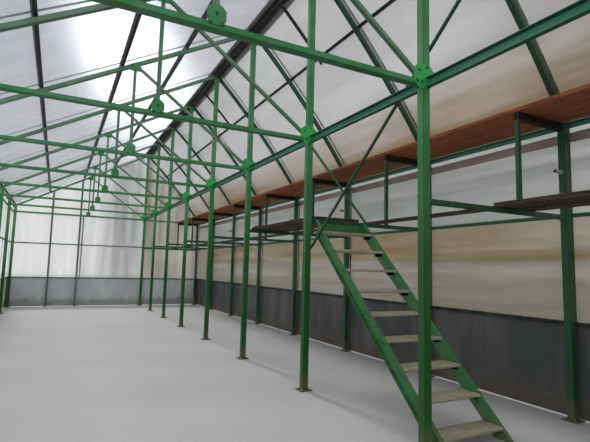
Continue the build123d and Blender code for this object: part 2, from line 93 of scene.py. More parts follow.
class Gable(Enum):
    """The two ends of the building, with the sign of Y that each faces."""

    NEAR = -1
    FAR = 1

    @property
    def out(self) -> Vector:
        """Outward direction."""
        return Vector((0, self.value, 0))


class Given(Enum):
    """Inputs of a node group that have no plain default."""

    SHAPE = "NodeSocketGeometry"
    FINISH = "NodeSocketMaterial"


def in_light(colour: Colour) -> tuple[float, ...]:
    """Turns a colour as a screen shows it, 0 to 255, into linear light with full alpha."""
    foot, foot_slope, lift, power = 10 / 255, 12.92, 0.055, 2.4
    shares = [c / 255 for c in colour]
    return (*(((s + lift) / (1 + lift)) ** power if s > foot else s / foot_slope for s in shares), 1.0)


@dataclass(frozen=True)
class Layout:
    """Lines of the building that several sub-assemblies share."""

    bay: float = 2.1
    bays: int = 9
    left_x: float = -3.09
    row_x: float = 1.07
    right_x: float = 3.09
    upright_x: float = -0.872
    tie_height: float = 3.16
    ridge_height: float = 5.61
    left_eave: float = 3.36
    right_eave: float = 3.22
    right_rise: float = 0.08
    half_post: float = 0.04
    half_bar: float = 0.03
    upper_girt: float = 2.13
    sheet_in: float = 0.08
    sheet_out: float = 0.088
    skirt_out: float = 0.092
    roof_top: float = 0.098
    gable_sheet_in: float = 9.53
    gable_sheet_out: float = 9.538
    verge_x: float = 3.228
    verge_y: float = 9.598
    sheet_foot: float = 0.983
    skirt_screws: float = 0.966
    left_purlins: tuple[float, ...] = (0.0, 1.005, 2.05, 3.01)
    right_purlins: tuple[float, ...] = (0.325, 0.97)

    @property
    def frames(self) -> list[float]:
        """Places of the frames along the building."""
        return [(i - self.bays / 2) * self.bay for i in range(self.bays + 1)]

    @property
    def slope(self) -> float:
        """Pitch of the left roof side."""
        return atan2(self.ridge_height - self.left_eave, self.row_x - self.left_x)

    @property
    def arc_radius(self) -> float:
        """Radius of the arched side's centre line."""
        chord = hypot(self.right_x - self.row_x, self.ridge_height - self.right_eave)
        return (chord**2 / 4 + self.right_rise**2) / (2 * self.right_rise)

    @property
    def arc_centre(self) -> Pair:
        """Centre of the arched side, as x and height."""
        run, drop = self.right_x - self.row_x, self.ridge_height - self.right_eave
        chord, inwards = hypot(run, drop), self.arc_radius - self.right_rise
        return (
            (self.row_x + self.right_x) / 2 - drop / chord * inwards,
            (self.ridge_height + self.right_eave) / 2 - run / chord * inwards,
        )

    @property
    def left_out(self) -> Vector:
        """Outward direction of the left slope."""
        return Vector((-sin(self.slope), 0, cos(self.slope)))

    def left_height(self, x: float, lift: float = 0.0) -> float:
        """Height at x of the left slope's centre line, or of a line lifted off it."""
        return self.ridge_height + (x - self.row_x) * tan(self.slope) + lift / cos(self.slope)

    def left_point(self, x: float, lift: float) -> Vector:
        """Point straight off the left slope's centre line at x, with no place along the building."""
        return Vector((x, 0, self.left_height(x))) + self.left_out * lift

    def right_height(self, x: float, lift: float = 0.0) -> float:
        """Height at x of the arched side's centre line, or of an arc lifted off it."""
        centre_x, centre_z = self.arc_centre
        return centre_z + sqrt((self.arc_radius + lift) ** 2 - (x - centre_x) ** 2)

    def right_out(self, x: float, lift: float = 0.0) -> Vector:
        """Outward direction of the arched side at x."""
        centre_x, centre_z = self.arc_centre
        return Vector((x - centre_x, 0, self.right_height(x, lift) - centre_z)).normalized()

    def right_point(self, share: float, lift: float) -> Pair:
        """Point of the arched side, counted from the ridge as a share of its arc.

        Args:
            share: 0 at the ridge and 1 over the wall posts.
            lift: Distance outside the rafters' centre line.

        Returns:
            Its x and its height.
        """
        centre_x, centre_z = self.arc_centre
        first = atan2(self.ridge_height - centre_z, self.row_x - centre_x)
        last = atan2(self.right_eave - centre_z, self.right_x - centre_x)
        turn = first + (last - first) * share
        reach = self.arc_radius + lift
        return centre_x + reach * cos(turn), centre_z + reach * sin(turn)


LAYOUT = Layout()


# Node trees


def titled(name: str) -> str:
    """Turns a name in code into the label of a socket."""
    return name.replace("_", " ").title()


@dataclass(frozen=True)
class Wire:
    """A number, vector, colour or shape on its way through a node tree."""

    web: "Web"
    socket: bpy.types.NodeSocket

    def __add__(self, other: Value) -> "Wire":
        """Adds a value."""
        return self.web.reckon("ADD", self, other)

    def __sub__(self, other: Value) -> "Wire":
        """Takes a value away."""
        return self.web.reckon("SUBTRACT", self, other)

    def __rsub__(self, other: Value) -> "Wire":
        """Takes this away from a value."""
        return self.web.reckon("SUBTRACT", other, self)

    def __mul__(self, other: Value) -> "Wire":
        """Multiplies by a value."""
        return self.web.reckon("MULTIPLY", self, other)

    def __truediv__(self, other: Value) -> "Wire":
        """Divides by a value."""
        return self.web.reckon("DIVIDE", self, other)

    def most(self, other: Value) -> "Wire":
        """The greater of this and a value."""
        return self.web.reckon("MAXIMUM", self, other)

    def over(self, other: Value) -> "Wire":
        """1 where this is greater than a value."""
        return self.web.reckon("GREATER_THAN", self, other)

    def dot(self, other: Value) -> "Wire":
        """How far this vector reaches along another."""
        return self.web.reckon("DOT_PRODUCT", self, other)

    def floor(self) -> "Wire":
        """The whole number below."""
        return self.web.reckon("FLOOR", self)

    def fract(self) -> "Wire":
        """What is left over the whole number below."""
        return self.web.reckon("FRACT", self)

    def size(self) -> "Wire":
        """The value without its sign."""
        return self.web.reckon("ABSOLUTE", self)

    def step(self, low: Value, high: Value) -> "Wire":
        """Maps low to 0 and high to 1 with a smooth step, clamped."""
        inputs = {"Value": self, "From Min": low, "From Max": high}
        return self.web.wire("ShaderNodeMapRange", inputs, interpolation_type="SMOOTHSTEP")

    def mix(self, first: Value, second: Value) -> "Wire":
        """Mixes two colours, wires or as a screen shows them, with this as the share of the second."""
        first, second = (in_light(v) if isinstance(v, tuple) else v for v in (first, second))
        return self.web.wire("ShaderNodeMix", {0: self, 6: first, 7: second}, 2, data_type="RGBA")


class Web:
    """A node tree being drawn."""

    def __init__(self, tree: bpy.types.NodeTree) -> None:
        """Takes the tree."""
        self.tree = tree

    def node(self, kind: str, inputs: dict[str | int, object] | None = None, **settings: object) -> bpy.types.Node:
        """Adds one node and fills its inputs.

        Args:
            kind: Type name of the node.
            inputs: Wires or plain values, by the name or number of the input.
            **settings: Properties of the node itself.

        Returns:
            The new node.
        """
        node = self.tree.nodes.new(kind)
        for name, value in settings.items():
            setattr(node, name, value)
        for key, value in (inputs or {}).items():
            if isinstance(value, Wire):
                self.tree.links.new(value.socket, node.inputs[key])
            else:
                node.inputs[key].default_value = value
        return node

    def wire(
        self, kind: str, inputs: dict[str | int, object] | None = None, output: str | int = 0, **settings: object
    ) -> Wire:
        """Adds one node and returns the wire from one of its outputs.

        Args:
            kind: Type name of the node.
            inputs: Wires or plain values, by the name or number of the input.
            output: Name or number of the output.
            **settings: Properties of the node itself.

        Returns:
            The wire.
        """
        return Wire(self, self.node(kind, inputs, **settings).outputs[output])

    def reckon(self, operation: str, *values: Value) -> Wire:
        """Puts values through a Math node, or a Vector Math node where one of them is a vector.

        Args:
            operation: Name of the operation.
            *values: Wires or plain values.

        Returns:
            The result.
        """
        vectors = [v for v in values if isinstance(v, tuple) or isinstance(v, Wire) and v.socket.type == "VECTOR"]
        if not vectors:
            return self.wire("ShaderNodeMath", dict(enumerate(values)), operation=operation)
        filled = {i: (v,) * 3 if isinstance(v, (int, float)) else v for i, v in enumerate(values)}
        output = "Value" if operation == "DOT_PRODUCT" else "Vector"
        return self.wire("ShaderNodeVectorMath", filled, output, operation=operation)

    def vector(self, x: Value, y: Value, z: Value) -> Wire:
        """Joins three numbers."""
        return self.wire("ShaderNodeCombineXYZ", {0: x, 1: y, 2: z})

    def noise(self, place: Wire, scale: Value, detail: float = 3.0, distortion: float = 0.0) -> Wire:
        """A cloudy pattern from 0 to 1."""
        inputs = {"Vector": place, "Scale": scale, "Detail": detail, "Distortion": distortion}
        return self.wire("ShaderNodeTexNoise", inputs, "Fac")

    def chance(self, count: Wire) -> Wire:
        """A number from 0 to 1 that stays the same between one whole count and the next."""
        return self.wire("ShaderNodeTexWhiteNoise", {"W": count.floor()}, "Value", noise_dimensions="1D")

    def place(self) -> Wire:
        """The place on the piece, in metres."""
        return self.wire("ShaderNodeTexCoord", output="Object")

    def height(self) -> Wire:
        """The height over the ground."""
        return self.wire("ShaderNodeSeparateXYZ", {0: self.place()}, "Z")

    def mark(self, name: str) -> Wire:
        """A number that the piece's mesh carries."""
        return self.wire("ShaderNodeAttribute", output="Fac", attribute_name=name)


class Group(Web):
    """A node group with named inputs and outputs."""

    def __init__(self, name: str, kind: str = "ShaderNodeTree", **inputs: object) -> None:
        """Starts the group.

        Args:
            name: Name of the group.
            kind: Type name of its tree.
            **inputs: Default value of each input, which also gives its type.
        """
        super().__init__(bpy.data.node_groups.new(name, kind))
        kinds = {float: "NodeSocketFloat", int: "NodeSocketInt", tuple: "NodeSocketVector"}
        for label, default in inputs.items():
            socket_type = default.value if isinstance(default, Given) else kinds[type(default)]
            socket = self.tree.interface.new_socket(titled(label), in_out="INPUT", socket_type=socket_type)
            if not isinstance(default, Given):
                socket.default_value = default
        entry = self.tree.nodes.new("NodeGroupInput")
        self.given = SimpleNamespace(**{label: Wire(self, entry.outputs[titled(label)]) for label in inputs})

    def end(self, **results: Wire) -> bpy.types.NodeTree:
        """Links the results to outputs of their names, and returns the tree."""
        kinds = {"VALUE": "NodeSocketFloat", "GEOMETRY": "NodeSocketGeometry"}
        for label, result in results.items():
            socket_type = kinds[result.socket.type]
            self.tree.interface.new_socket(titled(label), in_out="OUTPUT", socket_type=socket_type)
        self.node("NodeGroupOutput", {titled(label): result for label, result in results.items()})
        return self.tree


class Effects:
    """Surface effects that several finishes share, each built once."""

    def __init__(self) -> None:
        """Builds every group."""
        self.wear = self._wear()
        self.streaks = self._streaks()
        self.splash = self._splash()
        self.grain = self._grain()
        self.ribs = self._ribs()
        self.spangle = self._spangle()
        self.underside = self._underside_shade()

    @staticmethod
    def _underside_shade() -> bpy.types.NodeTree:
        """Faces that look down, where shade is painted."""
        group = Group("Underside")
        normal = group.wire("ShaderNodeTexCoord", output="Normal")
        return group.end(mask=normal.dot((0.0, 0.0, -1.0)).step(0.2, 0.9))

    @staticmethod
    def _wear() -> bpy.types.NodeTree:
        """Brushed paint: worn corners and chips, patchy tone and a fine skin."""
        group = Group("Paint wear", scale=1.0, worn_share=0.5)
        place = group.place() * group.given.scale
        corner = (group.noise(place, 26.0, 5.0) + group.given.worn_share * 0.3).step(0.7, 0.77)
        chips = group.noise(place, 9.0, 8.0).step(0.735, 0.765)
        return group.end(
            worn=(corner * group.mark("arris")).most(chips * 0.8),
            patch=group.noise(place, 1.7, 4.0, 0.4),
            skin=group.noise(place, 220.0, 2.0),
        )

    @staticmethod
    def _streaks() -> bpy.types.NodeTree:
        """Marks drawn out in one direction, such as runs, brush strokes and dirt lines."""
        group = Group("Streaks", stretch=(8.0, 8.0, 0.5), low=0.45, high=0.7)
        tone = group.noise(group.place() * group.given.stretch, 1.0, 5.0, 0.25)
        return group.end(mask=tone.step(group.given.low, group.given.high), tone=tone)

    @staticmethod
    def _splash() -> bpy.types.NodeTree:
        """Dirt that rain throws up on whatever stands near the ground."""
        group = Group("Ground splash", reach=0.5, scale=9.0)
        level = (1.0 - group.height() / group.given.reach).step(0.0, 1.0)
        cloud = group.noise(group.place(), group.given.scale, 6.0)
        return group.end(mask=(level * 0.8 + cloud).step(0.55, 1.15) * level.step(0.0, 0.3))

    @staticmethod
    def _grain() -> bpy.types.NodeTree:
        """Sawn timber: fibres, broad figure and knots, different on each board."""
        group = Group("Timber grain", stretch=(30.0, 1.2, 30.0))
        board = group.mark("board")
        moved = group.place() + group.vector(board * 7.0, board * 31.0, board)
        drawn = moved * group.given.stretch
        cells = group.wire("ShaderNodeTexVoronoi", {"Vector": drawn * 0.16, "Scale": 1.0}, "Distance")
        return group.end(
            fibre=group.noise(drawn, 4.0, 6.0, 0.3),
            figure=group.noise(drawn * 0.35, 1.0, 3.0, 1.6),
            knot=cells.step(0.13, 0.05),
            board=board,
        )

    @staticmethod
    def _ribs() -> bpy.types.NodeTree:
        """Inner ribs of a twin-wall sheet, counted along one direction."""
        group = Group("Twin-wall ribs", across=Y_WAY, pitch=0.011)
        count = group.place().dot(group.given.across) / group.given.pitch
        return group.end(rib=(count.fract() - 0.5).size().step(0.36, 0.46), channel=group.chance(count))

    @staticmethod
    def _spangle() -> bpy.types.NodeTree:
        """Zinc crystals and rubbed spots on plated metal."""
        group = Group("Zinc spangle", scale=60.0)
        place = group.place()
        cells = group.wire("ShaderNodeTexVoronoi", {"Vector": place, "Scale": group.given.scale}, "Color")
        crystal = group.wire("ShaderNodeSeparateColor", {0: cells})
        return group.end(crystal=crystal, rubbed=group.noise(place, 5.0, 5.0))


class Surface(Web):
    """A material being built around one Principled shader."""

    def __init__(self, name: str) -> None:
        """Starts an empty material of this name."""
        self.material = bpy.data.materials.new(name)
        self.material.use_nodes = True
        super().__init__(self.material.node_tree)
        self.tree.nodes.clear()
        self.shader = self.node("ShaderNodeBsdfPrincipled")
        self.node("ShaderNodeOutputMaterial", {"Surface": Wire(self, self.shader.outputs[0])})

    def use(self, group: bpy.types.NodeTree, **values: float | Point) -> SimpleNamespace:
        """Places a shader group with these inputs, and returns its outputs."""
        inputs = {titled(label): value for label, value in values.items()}
        node = self.node("ShaderNodeGroup", inputs, node_tree=group)
        return SimpleNamespace(**{output.name.lower(): Wire(self, output) for output in node.outputs})

    def set(self, **values: float | tuple[float, ...]) -> None:
        """Sets plain values on the shader, by input name with underscores for spaces."""
        for name, value in values.items():
            self.shader.inputs[name.replace("_", " ")].default_value = value

    def feed(self, **wires: Wire) -> None:
        """Links wires to the shader's inputs, by input name with underscores for spaces."""
        for name, wire in wires.items():
            self.tree.links.new(wire.socket, self.shader.inputs[name.replace("_", " ")])

    def bump(self, height: Wire, depth: float) -> None:
        """Raises the surface by a height map, this many metres deep."""
        self.feed(Normal=self.wire("ShaderNodeBump", {"Height": height, "Distance": depth}, "Normal"))

    def toned(self, colour: Wire, value: Wire) -> Wire:
        """Makes a colour brighter or darker."""
        return self.wire("ShaderNodeHueSaturation", {"Color": colour, "Value": value})

    def carries_light(self) -> Wire:
        """1 along rays that only bring light, and 0 along those that are looked along."""
        path = self.node("ShaderNodeLightPath")
        return Wire(self, path.outputs["Is Shadow Ray"]).most(Wire(self, path.outputs["Is Diffuse Ray"]))


# Finishes


@dataclass(frozen=True)
class SteelPaint:
    """Brushed-on paint over steel, with rubbed corners, dirt near the ground, painted shade on faces that look down
    and darkened rounded edges.
    """

    name: str
    fresh: Colour
    faded: Colour
    deep: Colour | None = None
    dirt: Colour = (122, 104, 82)
    dirt_reach: float = 0.32
    dirt_share: float = 0.55
    roughness: float = 0.4
    worn_share: float = 0.3
    primer: Colour = (84, 78, 68)
    # Painted shade: its colour, and its share on faces that look down and on the rounded edges.
    grime_and_shade: Colour = (8, 34, 22)
    underside: float = 0.55
    edge: float = 0.4

    def build(self, effects: Effects) -> bpy.types.Material:
        """Makes the material."""
        surface = Surface(self.name)
        wear = surface.use(effects.wear, worn_share=self.worn_share)
        runs = surface.use(effects.streaks, stretch=(16.0, 16.0, 0.8), low=0.42, high=0.75)
        splash = surface.use(effects.splash, reach=self.dirt_reach, scale=11.0).mask
        below = surface.use(effects.underside).mask
        tone = wear.patch.step(0.35, 0.7).mix(self.fresh, self.faded)
        if self.deep:
            tone = surface.height().step(1.0, 3.3).mix(self.deep, tone)
        tone = surface.toned(tone, surface.mark("board") * 0.16 + 0.92)
        tone = (runs.mask * 0.16).mix(tone, self.dirt)
        # Painted shade on faces that look down, with the rounded edges darkened by the same colour.
        tone = (below * self.underside).most(surface.mark("arris") * self.edge).mix(tone, self.grime_and_shade)
        tone = (splash * self.dirt_share).mix(wear.worn.mix(tone, self.primer), self.dirt)
        rough = wear.patch * 0.16 + self.roughness + wear.worn.most(splash) * 0.25
        surface.feed(Base_Color=tone, Roughness=rough)
        surface.set(Specular_IOR_Level=0.45)
        surface.bump(wear.skin * 0.4 - wear.worn + runs.tone * 0.8, 0.0006)
        return surface.material


@dataclass(frozen=True)
class Timber:
    """Sawn and weathered timber."""

    name: str
    light: Colour
    dark: Colour
    stretch: Point
    board_spread: float = 0.4
    roughness: float = 0.75
    worn: Colour = (150, 140, 122)
    grime_and_shade: Colour = (58, 50, 42)
    depth: float = 0.0012

    def build(self, effects: Effects) -> bpy.types.Material:
        """Makes the material."""
        surface = Surface(self.name)
        grain = surface.use(effects.grain, stretch=self.stretch)
        wear = surface.use(effects.wear, worn_share=0.8)
        tone = grain.fibre.step(0.3, 0.7).mix(self.dark, self.light)
        tone = (grain.figure.step(0.4, 0.7) * 0.45).mix(tone, self.dark)
        tone = (grain.knot * 0.8).mix(tone, self.grime_and_shade)
        tone = surface.toned(tone, (grain.board - 0.5) * self.board_spread + 1.0)
        tone = (wear.patch.step(0.5, 0.8) * 0.3).mix(tone, self.grime_and_shade)
        tone = (wear.worn * 0.55).mix(tone, self.worn)
        surface.feed(Base_Color=tone, Roughness=grain.fibre * 0.2 + self.roughness)
        surface.set(Specular_IOR_Level=0.3)
        surface.bump(grain.fibre - grain.knot * 0.4, self.depth)
        return surface.material


@dataclass(frozen=True)
class Band:
    """A stretch of the sheets with its own tone and cover, counted up from the ground or along another direction;
    most are stains, and one on the gables is painted sunlight.
    """

    low: float
    high: float
    blend: float
    colour: Colour
    share: float = 0.8
    cover: float = 0.1
    along: Point = Z_WAY


@dataclass(frozen=True)
class TwinWallSheet:
    """Milky ribbed plastic sheet, in panels of slightly different tone, stained in bands, and on the gables with
    one band of painted sunlight.
    """

    name: str
    clear: Colour
    tint: Colour
    bands: tuple[Band, ...]
    ribs_across: Point
    stretch: Point
    panels_along: Point = Y_WAY
    panel_width: float = 2.1
    first_panel: float = 9.45
    opacity: float = 0.5
    streak_cover: float = 0.2
    light_stopped: float = 0.35
    glow: float = 0.3
    roughness: float = 0.25

    def build(self, effects: Effects) -> bpy.types.Material:
        """Makes the material."""
        surface = Surface(self.name)
        ribs = surface.use(effects.ribs, across=self.ribs_across)
        lines = surface.use(effects.streaks, stretch=self.stretch, low=0.35, high=0.7)
        cloud = surface.use(effects.streaks, stretch=(0.6, 0.45, 0.8), low=0.35, high=0.65)
        place = surface.place()
        panel = surface.chance((place.dot(self.panels_along) + self.first_panel) / self.panel_width)
        tone = (cloud.mask * 0.5).mix(self.clear, self.tint)
        tone = (lines.mask * 0.35).mix(tone, self.tint)
        cover = ribs.rib * 0.02 + (lines.tone - 0.5) * self.streak_cover + (panel * 0.06 + self.opacity)
        uneven = cloud.mask * 0.3 + lines.tone * 0.7 + 0.35
        for band in self.bands:
            reach = place.dot(band.along)
            inside = reach.step(band.low - band.blend, band.low + band.blend)
            inside = inside * reach.step(band.high + band.blend, band.high - band.blend) * uneven
            tone = (inside * band.share).mix(tone, band.colour)
            cover = inside * band.cover + cover
        tone = surface.toned(tone, panel * 0.1 + 0.95)
        surface.feed(Base_Color=tone, Roughness=lines.tone * self.streak_cover * 0.5 + self.roughness)
        surface.feed(Alpha=cover * (1.0 - surface.carries_light() * (1.0 - self.light_stopped)))
        surface.set(Specular_IOR_Level=0.3, Transmission_Weight=self.glow, IOR=1.2)
        surface.bump(ribs.rib + ribs.channel * 0.3, 0.00015)
        return surface.material


@dataclass(frozen=True)
class PlainPanel:
    """Flat coated panel with rolled swages, and with dirt in runs and along its foot."""

    name: str
    base: Colour
    faded: Colour
    dirt: Colour = (112, 98, 80)
    stretch: Point = (3.0, 3.0, 0.6)
    roughness: float = 0.55
    dirt_share: float = 0.5

    def build(self, effects: Effects) -> bpy.types.Material:
        """Makes the material."""
        surface = Surface(self.name)
        runs = surface.use(effects.streaks, stretch=self.stretch, low=0.4, high=0.72)
        swages = surface.use(effects.ribs, across=Z_WAY, pitch=0.16)
        splash = surface.use(effects.splash, reach=0.45, scale=6.0).mask * self.dirt_share
        surface.feed(Base_Color=splash.mix(runs.mask.mix(self.base, self.faded), self.dirt))
        surface.feed(Roughness=splash * 0.4 + self.roughness)
        surface.bump(runs.tone * 0.3 + swages.rib, 0.0012)
        return surface.material


@dataclass(frozen=True)
class PlatedMetal:
    """Zinc-plated or mill-finish metal."""

    name: str
    bright: Colour
    dull: Colour
    spangle: float = 60.0
    roughness: float = 0.38

    def build(self, effects: Effects) -> bpy.types.Material:
        """Makes the material."""
        surface = Surface(self.name)
        zinc = surface.use(effects.spangle, scale=self.spangle)
        tone = (zinc.crystal * 0.5).mix(self.bright, self.dull)
        tone = zinc.rubbed.step(0.45, 0.75).mix(tone, self.dull)
        surface.feed(Base_Color=tone, Roughness=zinc.rubbed * 0.25 + self.roughness)
        surface.set(Metallic=0.85)
        surface.bump(zinc.crystal, 0.0001)
        return surface.material


@dataclass(frozen=True)
class Rubber:
    """Moulded rubber or plastic, dusty on its high spots."""

    name: str
    base: Colour = (34, 34, 35)
    dust: Colour = (96, 92, 86)

    def build(self, effects: Effects) -> bpy.types.Material:
        """Makes the material."""
        surface = Surface(self.name)
        wear = surface.use(effects.wear, scale=4.0)
        surface.feed(Base_Color=wear.patch.step(0.45, 0.8).mix(self.base, self.dust))
        surface.feed(Roughness=wear.patch * 0.3 + 0.55)
        surface.bump(wear.skin, 0.0003)
        return surface.material


Finish = SteelPaint | Timber | TwinWallSheet | PlainPanel | PlatedMetal | Rubber


GRAIN_X, GRAIN_Y, DECK_GRAIN = (1.2, 30.0, 30.0), (30.0, 1.1, 30.0), (26.0, 0.9, 26.0)
LEFT_ROOF_BANDS = (Band(3.2, 3.6, 0.3, (196, 196, 196), 0.5),)
RIGHT_ROOF_BANDS = (
    Band(3.0, 3.75, 0.6, (168, 140, 74), 1.5, 0.36),
    Band(5.4, 9.8, 1.4, (136, 125, 90), 0.65, 0.15, along=(0.0, -1.0, 0.0)),
)
WALL_BANDS = (
    Band(0.9, 1.64, 0.1, (164, 148, 124)),
    Band(1.64, LAYOUT.upper_girt, 0.08, (164, 136, 78), 0.95, 0.14),
    Band(3.03, 3.1, 0.01, (222, 224, 220), 0.8, -0.1),
)
GABLE_BANDS = (
    # Painted sunlight: a whiter, clearer stretch on the left of the gables, where the sun shines through.
    Band(-3.4, -1.2, 0.3, (238, 238, 234), 0.7, -0.05, along=X_WAY),
    Band(-0.2, LAYOUT.row_x, 0.5, (128, 129, 127), 0.75, 0.24, along=X_WAY),
    Band(LAYOUT.row_x, 3.4, 0.02, (156, 138, 114), 0.85, 0.28, along=X_WAY),
)
RECIPES: dict[str, Finish] = {
    "green": SteelPaint("Green paint", (48, 142, 72), (84, 160, 108), deep=(4, 92, 18)),
    "stair": SteelPaint("Stair paint", (50, 124, 58), (74, 138, 84)),
    "plate": SteelPaint("Plate paint", (48, 184, 80), (70, 194, 100)),
    "weld": SteelPaint("Painted weld", (32, 112, 50), (54, 126, 68), worn_share=0.5),
    # The glare-lit copies of the green paint are painted light: they are paler and greyer where bars stand against
    # the bright, backlit sheets. The shaded copy is painted shade.
    "sunned": SteelPaint("Glare-lit paint", (96, 146, 108), (128, 160, 134)),
    "gable_steel": SteelPaint("Glare-lit gable paint", (88, 118, 96), (112, 132, 116)),
    "shaded": SteelPaint("Shaded paint", (19, 80, 48), (32, 92, 62)),
    "beam": SteelPaint("Beam paint", (58, 142, 110), (78, 154, 124), underside=0.8),
    "girt": SteelPaint("Dirty girt paint", (22, 96, 52), (36, 108, 68), None, (40, 33, 26), 2.4, 1.0),
    "black": SteelPaint("Black paint", (12, 12, 18), (24, 24, 30), worn_share=0.15, grime_and_shade=(8, 8, 10)),
    "ridge": Timber("Ridge timber", (66, 68, 56), (26, 30, 22), GRAIN_Y),
    "deck": Timber("Deck timber", (170, 96, 54), (108, 54, 28), DECK_GRAIN),
    "dark": Timber("Dark timber", (84, 66, 58), (40, 30, 28), GRAIN_Y),
    "bearer": Timber("Bearer timber", (52, 44, 38), (24, 21, 18), GRAIN_X),
    "tread": Timber(
        "Tread timber", (190, 184, 166), (148, 140, 120), GRAIN_X, 0.16, worn=(210, 204, 188), grime_and_shade=(110, 98, 80)
    ),
    "left_roof": TwinWallSheet(
        "Left roof sheet",
        (217, 222, 239),
        (200, 206, 227),
        LEFT_ROOF_BANDS,
        ribs_across=Y_WAY,
        stretch=(0.35, 3.2, 0.6),
        opacity=0.42,
        streak_cover=0.14,
        glow=0.065,
        roughness=0.24,
    ),
    "right_roof": TwinWallSheet(
        "Right roof sheet",
        (200, 198, 204),
        (178, 176, 180),
        RIGHT_ROOF_BANDS,
        ribs_across=(0.6, 0.0, 0.8),
        stretch=(3.0, 0.25, 4.0),
        opacity=0.46,
    ),
    "wall": TwinWallSheet(
        "Wall sheet",
        (160, 168, 158),
        (140, 148, 142),
        WALL_BANDS,
        ribs_across=Z_WAY,
        stretch=(0.35, 0.3, 7.0),
        opacity=0.62,
        streak_cover=0.4,
    ),
    "gable": TwinWallSheet(
        "Gable sheet",
        (224, 224, 224),
        (176, 178, 184),
        GABLE_BANDS,
        ribs_across=X_WAY,
        stretch=(4.5, 4.5, 0.3),
        panels_along=X_WAY,
        panel_width=2.08,
        first_panel=3.09,
        opacity=0.34,
        streak_cover=0.42,
    ),
    "skirt": PlainPanel("Side skirt panel", (70, 74, 76), (96, 98, 98)),
    "gable_skirt": PlainPanel("Gable skirt panel", (196, 202, 206), (214, 216, 216)),
    "trim": PlainPanel("Eave trim", (168, 146, 142), (190, 170, 164), stretch=(6.0, 0.8, 6.0)),
    "cap": PlatedMetal("Folded metal", (206, 208, 209), (173, 175, 177), 18.0, 0.42),
    "zinc": PlatedMetal("Zinc plating", (203, 203, 200), (158, 156, 149), 240.0, 0.35),
    "aluminium": PlatedMetal("Mill aluminium", (212, 214, 215), (188, 188, 189), 90.0, 0.36),
    "rubber": Rubber("Black rubber"),
}


class Finishes:
    """Every finish of the building, as materials by the names of their recipes."""

    def __init__(self) -> None:
        """Builds the materials."""
        effects = Effects()
        for name, recipe in RECIPES.items():
            setattr(self, name, recipe.build(effects))


# Geometry trees


